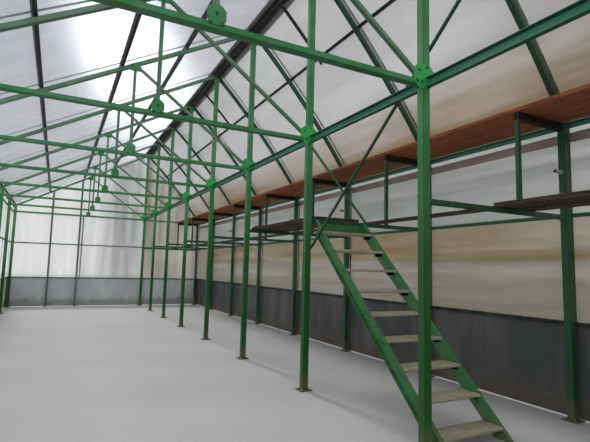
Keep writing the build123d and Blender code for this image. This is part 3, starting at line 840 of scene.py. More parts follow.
class PartTree(Group):
    """A tree that puts like parts at a carrier's points or along its rows, and ends in their finishes."""

    def __init__(self, name: str, **sizes: object) -> None:
        """Starts the tree with these inputs, and one for each of two finishes."""
        finishes = {"finish": Given.FINISH, "second_finish": Given.FINISH}
        super().__init__(name, "GeometryNodeTree", geometry=Given.SHAPE, **sizes, **finishes)

    def stored(self, name: str, kind: str = "FLOAT_VECTOR") -> Wire:
        """Reads what is stored on the mesh under this name."""
        return self.wire("GeometryNodeInputNamedAttribute", {"Name": name}, data_type=kind)

    def moved(self, shape: Wire, x: Value = 0.0, z: Value = 0.0, turn: Point = (0.0, 0.0, 0.0)) -> Wire:
        """Turns a shape and then moves it by these lengths."""
        inputs = {"Geometry": shape, "Translation": self.vector(x, 0.0, z), "Rotation": turn}
        return self.wire("GeometryNodeTransform", inputs)

    def joined(self, *shapes: Wire) -> Wire:
        """Joins several shapes."""
        node = self.tree.nodes.new("GeometryNodeJoinGeometry")
        for shape in shapes:
            self.tree.links.new(shape.socket, node.inputs[0])
        return Wire(self, node.outputs[0])

    def switch(self, test: Wire, shape: Wire, other: Wire | None = None) -> Wire:
        """The shape where the test holds, and otherwise the other or nothing."""
        inputs = {"Switch": test, "True": shape}
        return self.wire("GeometryNodeSwitch", inputs | ({"False": other} if other else {}))

    def box(self, x: Value, y: Value, z: Value) -> Wire:
        """A box about the origin."""
        return self.wire("GeometryNodeMeshCube", {"Size": self.vector(x, y, z)})

    def frustum(self, sides: Value, foot: Value, top: Value, depth: Value) -> Wire:
        """A round or many-sided frustum that stands on the origin, with these radii."""
        inputs = {"Vertices": sides, "Radius Bottom": foot, "Radius Top": top, "Depth": depth}
        return self.wire("GeometryNodeMeshCone", inputs)

    def second(self, shape: Wire) -> Wire:
        """Marks a shape for the second finish."""
        inputs = {"Geometry": shape, "Name": "second", "Value": True}
        return self.wire("GeometryNodeStoreNamedAttribute", inputs, data_type="BOOLEAN", domain="FACE")

    def row(self, pitch: Value | None = None) -> Wire:
        """The carrier's rows as curves, cut at this pitch where one is given."""
        line = self.wire("GeometryNodeMeshToCurve", {"Mesh": self.given.geometry})
        inputs = {"Curve": line, "Normal": self.stored("facing")}
        line = self.wire("GeometryNodeSetCurveNormal", inputs, mode="FREE")
        if pitch is None:
            return line
        return self.wire("GeometryNodeResampleCurve", {"Curve": line, "Length": pitch}, mode="LENGTH")

    def swept(self, line: Wire, profile: Wire, scale: Value = 1.0) -> Wire:
        """Sweeps a closed profile, whose X faces outwards, along a line."""
        inputs = {"Curve": line, "Profile Curve": profile, "Scale": scale, "Fill Caps": True}
        return self.wire("GeometryNodeCurveToMesh", inputs)

    def spread(self, part: Wire, points: Wire | None = None, spin: Wire | None = None) -> Wire:
        """Puts a part at every point, its Z facing outwards and its Y along the row.

        Args:
            part: The part.
            points: Where it goes, the carrier's own points by default.
            spin: Seed for turning each about its own Z, or none.

        Returns:
            The parts.
        """
        kind = "FunctionNodeAlignRotationToVector"
        turn = self.wire(kind, {"Vector": self.stored("facing")}, axis="Z")
        turn = self.wire(kind, {"Rotation": turn, "Vector": self.stored("along")}, axis="Y", pivot_axis="Z")
        if spin is not None:
            angle = self.wire("FunctionNodeRandomValue", {2: 0.0, 3: 2 * pi, "Seed": spin}, 1)
            about = self.wire("FunctionNodeAxisAngleToRotation", {"Axis": Z_WAY, "Angle": angle})
            inputs = {"Rotation": turn, "Rotate By": about}
            turn = self.wire("FunctionNodeRotateRotation", inputs, rotation_space="LOCAL")
        inputs = {"Points": points or self.given.geometry, "Instance": part, "Rotation": turn}
        return self.wire("GeometryNodeInstanceOnPoints", inputs)

    def hex_head(self, sides: Value, across: Value, height: Value, collar: Value, collar_height: Value) -> Wire:
        """A bolt or screw head with a chamfered crown, on a washer that is marked for the second finish.

        Args:
            sides: Number of flats.
            across: Width across the corners.
            height: Height of the head.
            collar: Diameter of the washer.
            collar_height: Height of the washer.

        Returns:
            The shape, standing on the origin.
        """
        radius, body = across * 0.5, height * 0.78
        washer = self.second(self.frustum(12, collar * 0.5, collar * 0.44, collar_height))
        flats = self.moved(self.frustum(sides, radius, radius, body), z=collar_height)
        crown = self.moved(self.frustum(sides, radius, radius * 0.8, height - body), z=collar_height + body)
        return self.joined(flats, crown, washer)

    def finish(self, whole: Wire, smooth: bool = False) -> bpy.types.NodeTree:
        """Realizes the instances, gives both finishes and ends the tree."""
        whole = self.wire("GeometryNodeRealizeInstances", {"Geometry": whole})
        whole = self.wire("GeometryNodeSetShadeSmooth", {"Geometry": whole, "Shade Smooth": smooth})
        whole = self.wire("GeometryNodeSetMaterial", {"Geometry": whole, "Material": self.given.finish})
        inputs = {"Geometry": whole, "Material": self.given.second_finish}
        inputs["Selection"] = self.stored("second", "BOOLEAN")
        return self.end(geometry=self.wire("GeometryNodeSetMaterial", inputs))


class Trees:
    """Geometry Nodes trees that fill points and rows with like parts."""

    def __init__(self) -> None:
        """Builds every tree."""
        self.fasteners = self._fasteners()
        self.strips = self._strips()
        self.welds = self._welds()
        self.cleats = self._cleats()
        self.pegs = self._pegs()
        self.end_caps = self._end_caps()
        self.uneven_boards = self._uneven_boards()

    @staticmethod
    def _fasteners() -> bpy.types.NodeTree:
        """Bolts, screws or nails at points, or spaced along rows where a pitch is given."""
        tree = PartTree(
            "Fasteners",
            pitch=0.0,
            sides=6,
            head_across=0.022,
            head_height=0.008,
            washer_diameter=0.028,
            washer_height=0.0025,
            stud_length=0.0,
            seed=1,
        )
        given = tree.given
        head = tree.hex_head(
            given.sides, given.head_across, given.head_height, given.washer_diameter, given.washer_height
        )
        radius, rise = given.head_across * 0.25, given.washer_height + given.head_height
        stud = tree.moved(tree.frustum(8, radius, radius, given.stud_length), z=rise)
        part = tree.joined(head, tree.switch(given.stud_length.over(0.0005), stud))
        points = tree.switch(given.pitch.over(0.0), tree.row(given.pitch.most(0.01)), given.geometry)
        return tree.finish(tree.spread(part, points, spin=given.seed))

    @staticmethod
    def _strips() -> bpy.types.NodeTree:
        """Straight or bent strips along rows, wider at the foot than at the crown."""
        tree = PartTree("Strips", foot_width=0.05, crown_width=0.04, height=0.003)
        given = tree.given
        widths = {"Bottom Width": given.foot_width, "Top Width": given.crown_width}
        inputs = {**widths, "Height": given.height, "Offset": 0.0}
        profile = tree.wire("GeometryNodeCurvePrimitiveQuadrilateral", inputs, mode="TRAPEZOID")
        profile = tree.moved(profile, x=given.height * 0.5, turn=(0.0, 0.0, -pi / 2))
        return tree.finish(tree.swept(tree.row(), profile))

    @staticmethod
    def _welds() -> bpy.types.NodeTree:
        """Weld beads along rows, uneven in thickness."""
        tree = PartTree("Weld beads", radius=0.005, unevenness=0.5, pitch=0.012)
        given = tree.given
        place = tree.wire("GeometryNodeInputPosition")
        swell = (tree.noise(place, 160.0, 1.0) - 0.5) * given.unevenness + 1.0
        profile = tree.wire("GeometryNodeCurvePrimitiveCircle", {"Resolution": 6, "Radius": given.radius})
        return tree.finish(tree.swept(tree.row(given.pitch), profile, swell), smooth=True)

    @staticmethod
    def _cleats() -> bpy.types.NodeTree:
        """Angle cleats, with a bolt of the second finish through each leg."""
        tree = PartTree("Angle cleats", leg=0.05, wall=0.005, length=0.05, bolt_across=0.015)
        given = tree.given
        rise = given.leg - given.wall
        foot = tree.moved(tree.box(given.leg, given.length, given.wall), x=given.leg * 0.5, z=given.wall * 0.5)
        upright = tree.box(given.wall, given.length, rise)
        upright = tree.moved(upright, x=given.wall * 0.5, z=given.wall + rise * 0.5)
        across = given.bolt_across
        bolt = tree.second(tree.hex_head(6, across, across * 0.4, across * 1.4, across * 0.12))
        middle = given.leg * 0.58
        low = tree.moved(bolt, x=middle, z=given.wall)
        side = tree.moved(bolt, x=given.wall, z=middle, turn=(0.0, pi / 2, 0.0))
        return tree.finish(tree.spread(tree.joined(foot, upright, low, side)))

    @staticmethod
    def _pegs() -> bpy.types.NodeTree:
        """Short open pipe pegs, with a collar where they leave their post and a rolled lip."""
        collar = {"collar_diameter": 0.052, "collar_length": 0.02}
        tree = PartTree("Pipe pegs", diameter=0.04, wall=0.003, length=0.12, **collar)
        given = tree.given

        def ring(diameter: Wire, wall: Wire, length: Wire, start: Value) -> Wire:
            """Sweeps a wall section round the peg's axis, from start outwards."""
            inputs = {"Resolution": 20, "Radius": (diameter - wall) * 0.5}
            path = tree.wire("GeometryNodeCurvePrimitiveCircle", inputs)
            path = tree.wire("GeometryNodeSetCurveNormal", {"Curve": path, "Normal": Z_WAY}, mode="FREE")
            section = tree.wire("GeometryNodeCurvePrimitiveQuadrilateral", {"Width": length, "Height": wall})
            return tree.moved(tree.swept(path, section), z=length * 0.5 + start)

        lip = given.collar_length * 0.4
        collar_wall = (given.collar_diameter - given.diameter) * 0.5
        peg = tree.joined(
            ring(given.diameter, given.wall, given.length, 0.0),
            ring(given.collar_diameter, collar_wall, given.collar_length, 0.0),
            ring(given.diameter + given.wall, given.wall * 0.5, lip, given.length - lip),
        )
        return tree.finish(tree.spread(peg))

    @staticmethod
    def _end_caps() -> bpy.types.NodeTree:
        """Push-in caps that close the open ends of tubes."""
        tree = PartTree("Tube end caps", width=0.05, depth=0.06, thickness=0.003)
        given = tree.given
        flange = tree.moved(tree.box(given.width, given.depth, given.thickness), z=given.thickness * 0.5)
        crown = tree.box(given.width * 0.82, given.depth * 0.82, given.thickness * 0.6)
        return tree.finish(tree.spread(tree.joined(flange, tree.moved(crown, z=given.thickness * 1.3))))

    @staticmethod
    def _uneven_boards() -> bpy.types.NodeTree:
        """Makes sawn boards a little uneven along their length."""
        tree = PartTree("Uneven boards", sideways=0.003, upwards=0.0015, scale=1.3)
        given = tree.given
        place = tree.wire("GeometryNodeInputPosition")
        side = (tree.noise(place, given.scale, 2.0) - 0.5) * given.sideways
        rise = (tree.noise(place + (17.0, 5.0, 3.0), given.scale, 2.0) - 0.5) * given.upwards
        inputs = {"Geometry": given.geometry, "Offset": tree.vector(side, 0.0, rise)}
        return tree.finish(tree.wire("GeometryNodeSetPosition", inputs), smooth=True)


# Pieces


def settle(piece: bpy.types.Object) -> None:
    """Rides a finished piece on the building and reports it."""
    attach(piece, "root")
    log.info("%s: %d faces", piece.name, len(piece.data.polygons))


def new_piece(mesh: bpy.types.Mesh) -> bpy.types.Object:
    """Puts a mesh in the scene as a piece of its name."""
    piece = bpy.data.objects.new(mesh.name, mesh)
    bpy.context.scene.collection.objects.link(piece)
    return piece


def apply_modifier(piece: bpy.types.Object, modifier: bpy.types.Modifier) -> None:
    """Keeps what a modifier makes as the piece's plain mesh, and removes the modifier."""
    graph = bpy.context.evaluated_depsgraph_get()
    shaped = piece.evaluated_get(graph)
    made = bpy.data.meshes.new_from_object(shaped, preserve_all_data_layers=True, depsgraph=graph)
    piece.modifiers.remove(modifier)
    source, piece.data = piece.data, made
    bpy.data.meshes.remove(source)
    made.name = piece.name


def run_tree(piece: bpy.types.Object, tree: bpy.types.NodeTree, **sizes: object) -> None:
    """Runs a tree on a piece and keeps the result as its plain mesh.

    Args:
        piece: The object whose mesh the tree reads.
        tree: A Geometry Nodes tree.
        **sizes: Values of the tree's inputs by name.
    """
    modifier = piece.modifiers.new(tree.name, "NODES")
    modifier.node_group = tree
    values = {titled(name): value for name, value in sizes.items()}
    for item in tree.interface.items_tree:
        if item.in_out == "INPUT" and item.name in values:
            modifier[item.identifier] = values[item.name]
    apply_modifier(piece, modifier)


@dataclass
class Carrier:
    """Points and lines that a tree fills, each knowing which way its part faces and lies."""

    name: str
    points: list[Vector] = field(default_factory=list)
    edges: list[tuple[int, int]] = field(default_factory=list)
    facing: list[Vector] = field(default_factory=list)
    along: list[Vector] = field(default_factory=list)

    def place(self, point: Iterable[float], facing: Vector, along: Vector = OUT_FAR) -> None:
        """Adds one place."""
        self.points.append(Vector(point))
        self.facing.append(facing)
        self.along.append(along)

    def row(
        self, points: Sequence[Iterable[float]], facing: Vector | Sequence[Vector], closed: bool = False
    ) -> None:
        """Adds a line through several points.

        Args:
            points: The points in order.
            facing: One direction for all of them, or one for each.
            closed: Whether the line returns to its first point.
        """
        first = len(self.points)
        directions = [facing] * len(points) if isinstance(facing, Vector) else facing
        for point, direction in zip(points, directions):
            self.place(point, direction)
        self.edges += [(first + i, first + i + 1) for i in range(len(points) - 1)]
        if closed:
            self.edges.append((first + len(points) - 1, first))

    def upright(self, x: float, y: float, span: Pair, facing: Vector) -> None:
        """Adds a line between two heights."""
        self.row([(x, y, z) for z in span], facing)

    def square(self, x: float, y: float, z: float, half: float) -> None:
        """Adds a closed level square that reaches half its width from its middle."""
        self.row([(x + i * half, y + j * half, z) for i, j in CORNERS], UP, closed=True)

    def along_roof(self, end: float, lift: float, left: Iterable[float], right: Iterable[float]) -> None:
        """Adds lines along the building at these x on the two roof sides, from -end to end."""
        for x in left:
            self.row([(x, y, LAYOUT.left_height(x, lift)) for y in (-end, end)], LAYOUT.left_out)
        for x in right:
            self.row([(x, y, LAYOUT.right_height(x, lift)) for y in (-end, end)], LAYOUT.right_out(x, lift))

    def down_roof(self, y: float, lift: float, left: Pair, right: Pair, points: int) -> None:
        """Adds a line down each roof side.

        Args:
            y: Its place along the building.
            lift: Distance outside the rafters' centre line.
            left: First and last x on the left slope.
            right: First and last x on the arched side.
            points: Number of points on the arched side.
        """
        self.row([(x, y, LAYOUT.left_height(x, lift)) for x in left], LAYOUT.left_out)
        low, high = right
        steps = [low + (high - low) * i / (points - 1) for i in range(points)]
        facing = [LAYOUT.right_out(x, lift) for x in steps]
        self.row([(x, y, LAYOUT.right_height(x, lift)) for x in steps], facing)

    def fill(self, tree: bpy.types.NodeTree, slot: Slot, finish: bpy.types.Material, **sizes: object) -> None:
        """Fills the places and settles the piece.

        Args:
            tree: The tree that makes the parts.
            slot: Not used.
            finish: Finish of the parts, also of their second finish where none is given.
            **sizes: Other inputs of the tree.
        """
        mesh = bpy.data.meshes.new(self.name)
        mesh.from_pydata(self.points, self.edges, [])
        for label, directions in (("facing", self.facing), ("along", self.along)):
            layer = mesh.attributes.new(label, "FLOAT_VECTOR", "POINT")
            layer.data.foreach_set("vector", [c for direction in directions for c in direction])
        piece = new_piece(mesh)
        run_tree(piece, tree, **{"finish": finish, "second_finish": finish, **sizes})
        settle(piece)


@dataclass(frozen=True)
class Strip:
    """Section of a strip: its widths at the foot and the crown, and its height."""

    foot: float
    crown: float
    height: float


@dataclass(frozen=True)
class Rounding:
    """How the corners of a bar are rounded, and how far apart it is cut along Y to be bent."""

    radius: float
    segments: int = 2
    cut_step: float = 0.0
    same_place: float = 0.00001
    flat_angle: float = radians(0.2)
    corner_angle: float = radians(30)


def mark_solids(shape: bmesh.types.BMesh) -> None:
    """Gives each solid of a piece a number of its own, for its tone and grain."""
    golden = 0.618034
    layer = shape.faces.layers.float.new("board")
    waiting = set(shape.faces)
    count = 0
    for start in shape.faces:
        if start not in waiting:
            continue
        count += 1
        open_faces = [start]
        waiting.discard(start)
        while open_faces:
            face = open_faces.pop()
            face[layer] = count * golden % 1.0
            for edge in face.edges:
                for other in edge.link_faces:
                    if other in waiting:
                        waiting.discard(other)
                        open_faces.append(other)


def rounded_copy(
    node: bpy.types.Object,
    rounding: Rounding,
    material: bpy.types.Material,
    slot: Slot,
    tree: bpy.types.NodeTree | None = None,
    **sizes: object,
) -> None:
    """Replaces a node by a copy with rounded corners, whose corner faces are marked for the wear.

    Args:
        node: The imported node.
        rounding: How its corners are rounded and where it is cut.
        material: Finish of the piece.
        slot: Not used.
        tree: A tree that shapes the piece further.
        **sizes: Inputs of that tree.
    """
    shape = bmesh.new()
    shape.from_mesh(node.data)
    bmesh.ops.remove_doubles(shape, verts=shape.verts, dist=rounding.same_place)
    bmesh.ops.dissolve_limit(shape, angle_limit=rounding.flat_angle, verts=shape.verts, edges=shape.edges)
    if rounding.cut_step:
        low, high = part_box(node.name)
        place = low[1] + rounding.cut_step
        while place < high[1]:
            everything = shape.verts[:] + shape.edges[:] + shape.faces[:]
            bmesh.ops.bisect_plane(shape, geom=everything, plane_co=(0, place, 0), plane_no=(0, 1, 0))
            place += rounding.cut_step
    joints = [edge for edge in shape.edges if edge.is_manifold]
    made = bmesh.ops.bevel(
        shape,
        geom=[edge for edge in joints if edge.calc_face_angle() > rounding.corner_angle],
        offset=rounding.radius,
        segments=rounding.segments,
        profile=0.5,
        affect="EDGES",
        clamp_overlap=True,
    )
    layer = shape.loops.layers.float.new("arris")
    for face in shape.faces:
        face.smooth = True
    for face in made["faces"]:
        for loop in face.loops:
            loop[layer] = 1.0
    mark_solids(shape)
    mesh = bpy.data.meshes.new(f"{node.name}_rounded")
    shape.to_mesh(mesh)
    shape.free()
    mesh.materials.append(material)
    piece = new_piece(mesh)
    if tree is not None:
        run_tree(piece, tree, finish=material, second_finish=material, **sizes)
    evener = piece.modifiers.new("Flat faces", "WEIGHTED_NORMAL")
    evener.weight = 100
    apply_modifier(piece, evener)
    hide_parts(node.name)
    settle(piece)


@dataclass
class Kit:
    """What every sub-assembly works with."""

    nodes: dict[str, bpy.types.Object]
    finishes: Finishes
    trees: Trees

    def dress(self, material: bpy.types.Material, *names: str) -> None:
        """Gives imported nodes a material."""
        for name in names:
            self.nodes[name].data.materials.clear()
            self.nodes[name].data.materials.append(material)

    def round_off(self, rounding: Rounding, material: bpy.types.Material, slot: Slot, *names: str) -> None:
        """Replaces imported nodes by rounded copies."""
        for name in names:
            rounded_copy(self.nodes[name], rounding, material, slot)

    def fasten(
        self, carrier: Carrier, finish: bpy.types.Material, slot: Slot, across: float, **sizes: object
    ) -> None:
        """Puts bolts, screws or nails at a carrier's points or along its rows.

        Args:
            carrier: The places.
            finish: Finish of the heads.
            slot: Record slot of the piece.
            across: Width of the heads across their corners, which their other sizes follow.
            **sizes: Inputs of the tree that are given apart.
        """
        usual = {
            "head_across": across,
            "head_height": across * 0.36,
            "washer_diameter": across * 1.26,
            "washer_height": across * 0.12,
        }
        carrier.fill(self.trees.fasteners, slot, finish, **{**usual, **sizes})

    def sheet_screws(self, carrier: Carrier, pitch: float) -> None:
        """Puts hex sheet screws with rubber washers along a carrier's rows."""
        washer = {"washer_diameter": 0.026, "washer_height": 0.0035, "second_finish": self.finishes.rubber}
        sizes = {"across": 0.0115, "head_height": 0.0055, "pitch": pitch, **washer}
        self.fasten(carrier, self.finishes.zinc, Slot.METAL, **sizes)

    def strips(self, carrier: Carrier, finish: bpy.types.Material, strip: Strip) -> None:
        """Puts strips along a carrier's rows."""
        sizes = {"foot_width": strip.foot, "crown_width": strip.crown, "height": strip.height}
        carrier.fill(self.trees.strips, Slot.METAL, finish, **sizes)

    def weld(self, carrier: Carrier, radius: float) -> None:
        """Puts painted weld beads along a carrier's rows."""
        carrier.fill(self.trees.welds, Slot.GREEN, self.finishes.weld, radius=radius)


# Sub-assemblies


@dataclass
class Steelwork:
    """Posts, trusses, girts and braces: round corners, welds, plates' bolts and cleats."""

    kit: Kit
    half_tie: float = 0.025
    half_row_beam: float = 0.045
    half_hanger: float = 0.0225
    hanger_x: float = 2.34
    deck_beam: float = 2.104
    plate_thickness: float = 0.008
    foot_top: float = 0.012
    foot_bolt_reach: float = 0.058
    foot_bolt_stud: float = 0.014
    foot_bead: float = 0.005
    joint_bead: float = 0.0035
    bead_gap: float = 0.006
    half_purlin: float = 0.025
    purlin_lift: float = 0.06
    cleat_shift: float = 0.01
    tube_corner: Rounding = Rounding(0.006)
    channel_corner: Rounding = Rounding(0.0018)
    plate_corner: Rounding = Rounding(0.0015, 1)
    row_bolts: tuple[Pair, ...] = ((-0.115, 0), (-0.06, 0), (-0.09, 0.105), (0, 0.145), (0, -0.03), (0.055, 0))
    upright_bolts: tuple[Pair, ...] = ((-0.045, 0.012), (0.045, 0.012), (0, 0.085))
    rafter_bolts: Pair = (-0.05, 0.05)
    top_bolt_drop: float = 0.075
    # Which copy of the green paint each group takes: the glare-lit copies are painted light, and the shaded copy is
    # painted shade.
    tubes: tuple[tuple[str, str], ...] = (
        ("green", "ridge_posts left_wall_posts tie_beams left_wall_girts landing_brace"),
        ("sunned", "left_rafters truss_uprights truss_diagonals"),
        ("gable_steel", "far_gable_posts far_gable_girts near_gable_posts near_gable_girts"),
        ("shaded", "right_wall_posts right_rafters deck_hangers lower_deck_beams long_brace"),
        ("girt", "right_wall_girts"),
    )

    def round_bars(self) -> None:
        """Rounds the tubes and channels and eases the plates' edges."""
        finishes, round_off = self.kit.finishes, self.kit.round_off
        for finish, names in self.tubes:
            round_off(self.tube_corner, getattr(finishes, finish), Slot.GREEN, *names.split())
        round_off(self.tube_corner, finishes.black, Slot.BLACK, "left_purlins", "right_purlins")
        round_off(self.channel_corner, finishes.beam, Slot.GREEN, "row_beams", "right_eave_beam")
        plates = ("truss_foot_plates", "truss_top_plates", "post_feet", "stair_head_bar")
        round_off(self.plate_corner, finishes.green, Slot.GREEN, *plates)
        round_off(self.plate_corner, finishes.plate, Slot.GREEN, "ridge_post_plates")

    def fix_feet(self) -> None:
        """Welds every post to its foot plate and bolts the plate down at its corners."""
        beads, bolts = Carrier("post_foot_welds"), Carrier("post_foot_anchors")
        reach = self.foot_bolt_reach
        for x in (LAYOUT.left_x, LAYOUT.row_x, LAYOUT.right_x):
            for y in LAYOUT.frames:
                beads.square(x, y, self.foot_top, LAYOUT.half_post)
                for i, j in CORNERS:
                    bolts.place((x + i * reach, y + j * reach, self.foot_top), UP)
        self.kit.weld(beads, self.foot_bead)
        self.kit.fasten(bolts, self.kit.finishes.zinc, Slot.METAL, across=0.019, stud_length=self.foot_bolt_stud)

    def bolt_plates(self) -> None:
        """Bolts the truss plates to the bars behind them."""
        bolts = Carrier("truss_plate_bolts")
        row, tie, upright = LAYOUT.row_x, LAYOUT.tie_height, LAYOUT.upright_x
        places = [(row + x, tie + z) for x, z in self.row_bolts]
        places += [(upright + x, tie + z) for x, z in self.upright_bolts]
        places += [(upright + x, LAYOUT.left_height(upright + x)) for x in self.rafter_bolts]
        places.append((upright, LAYOUT.left_height(upright, -self.top_bolt_drop)))
        for y in LAYOUT.frames[1:]:
            for x, z in places:
                bolts.place((x, y - LAYOUT.half_post - self.plate_thickness, z), OUT_NEAR, UP)
        self.kit.fasten(bolts, self.kit.finishes.weld, Slot.GREEN, across=0.023)

    def weld_joints(self) -> None:
        """Welds the ties, beams and hangers to the posts that they meet."""
        beads = Carrier("frame_welds")
        post, tie, half = LAYOUT.half_post, LAYOUT.tie_height, self.half_tie
        for y in LAYOUT.frames:
            for x, out in ((LAYOUT.left_x + post, OUT_RIGHT), (LAYOUT.row_x - post, OUT_LEFT)):
                for z in (tie - half, tie + half):
                    beads.row([(x, y - post + self.bead_gap, z), (x, y + post - self.bead_gap, z)], out)
            for x, out in ((LAYOUT.row_x + post, OUT_RIGHT), (LAYOUT.right_x - post, OUT_LEFT)):
                beads.row([(x, y + i * half, self.deck_beam + j * half) for i, j in CORNERS], out, closed=True)
            beads.square(self.hanger_x, y, self.deck_beam + half, self.half_hanger)
        for near, far in zip(LAYOUT.frames, LAYOUT.frames[1:]):
            for y, out in ((near + post, OUT_FAR), (far - post - self.plate_thickness, OUT_NEAR)):
                for z in (tie - self.half_row_beam, tie + self.half_row_beam):
                    beads.row([(LAYOUT.row_x - half, y, z), (LAYOUT.row_x + half, y, z)], out)
        self.kit.weld(beads, self.joint_bead)

    def cleat_purlins(self) -> None:
        """Holds each purlin on each rafter with a bolted angle cleat."""
        cleats = Carrier("purlin_cleats")
        down = Vector((-cos(LAYOUT.slope), 0, -sin(LAYOUT.slope)))
        x, z = LAYOUT.right_point(LAYOUT.right_purlins[0], LAYOUT.half_bar)
        out = LAYOUT.right_out(x)
        right_foot = Vector((x, 0, z)) + Vector((out.z, 0, -out.x)) * self.half_purlin
        for y in LAYOUT.frames:
            along = Vector((0, y - self.cleat_shift, 0))
            for offset in LAYOUT.left_purlins[1:]:
                left_foot = LAYOUT.left_point(LAYOUT.left_x + offset, LAYOUT.half_bar) + down * self.half_purlin
                cleats.place(left_foot + along, LAYOUT.left_out, OUT_NEAR)
            cleats.place(right_foot + along, out, OUT_FAR)
        zinc = self.kit.finishes.zinc
        cleats.fill(self.kit.trees.cleats, Slot.METAL, zinc, leg=0.045, wall=0.004, length=0.05, bolt_across=0.015)

    def cap_tubes(self) -> None:
        """Closes the purlins' open ends at both gables."""
        caps = Carrier("purlin_end_caps")
        for gable in Gable:
            y = gable.value * LAYOUT.gable_sheet_in
            for offset in LAYOUT.left_purlins:
                end = LAYOUT.left_point(LAYOUT.left_x + offset, self.purlin_lift)
                caps.place((end.x, y, end.z), gable.out, LAYOUT.left_out)
            x, z = LAYOUT.right_point(LAYOUT.right_purlins[0], self.purlin_lift)
            caps.place((x, y, z), gable.out, LAYOUT.right_out(x))
        caps.fill(self.kit.trees.end_caps, Slot.BLACK, self.kit.finishes.rubber, width=0.05, depth=0.058)

    def build(self) -> None:
        """Builds the whole sub-assembly."""
        self.round_bars()
        self.fix_feet()
        self.bolt_plates()
        self.weld_joints()
        self.cleat_purlins()
        self.cap_tubes()


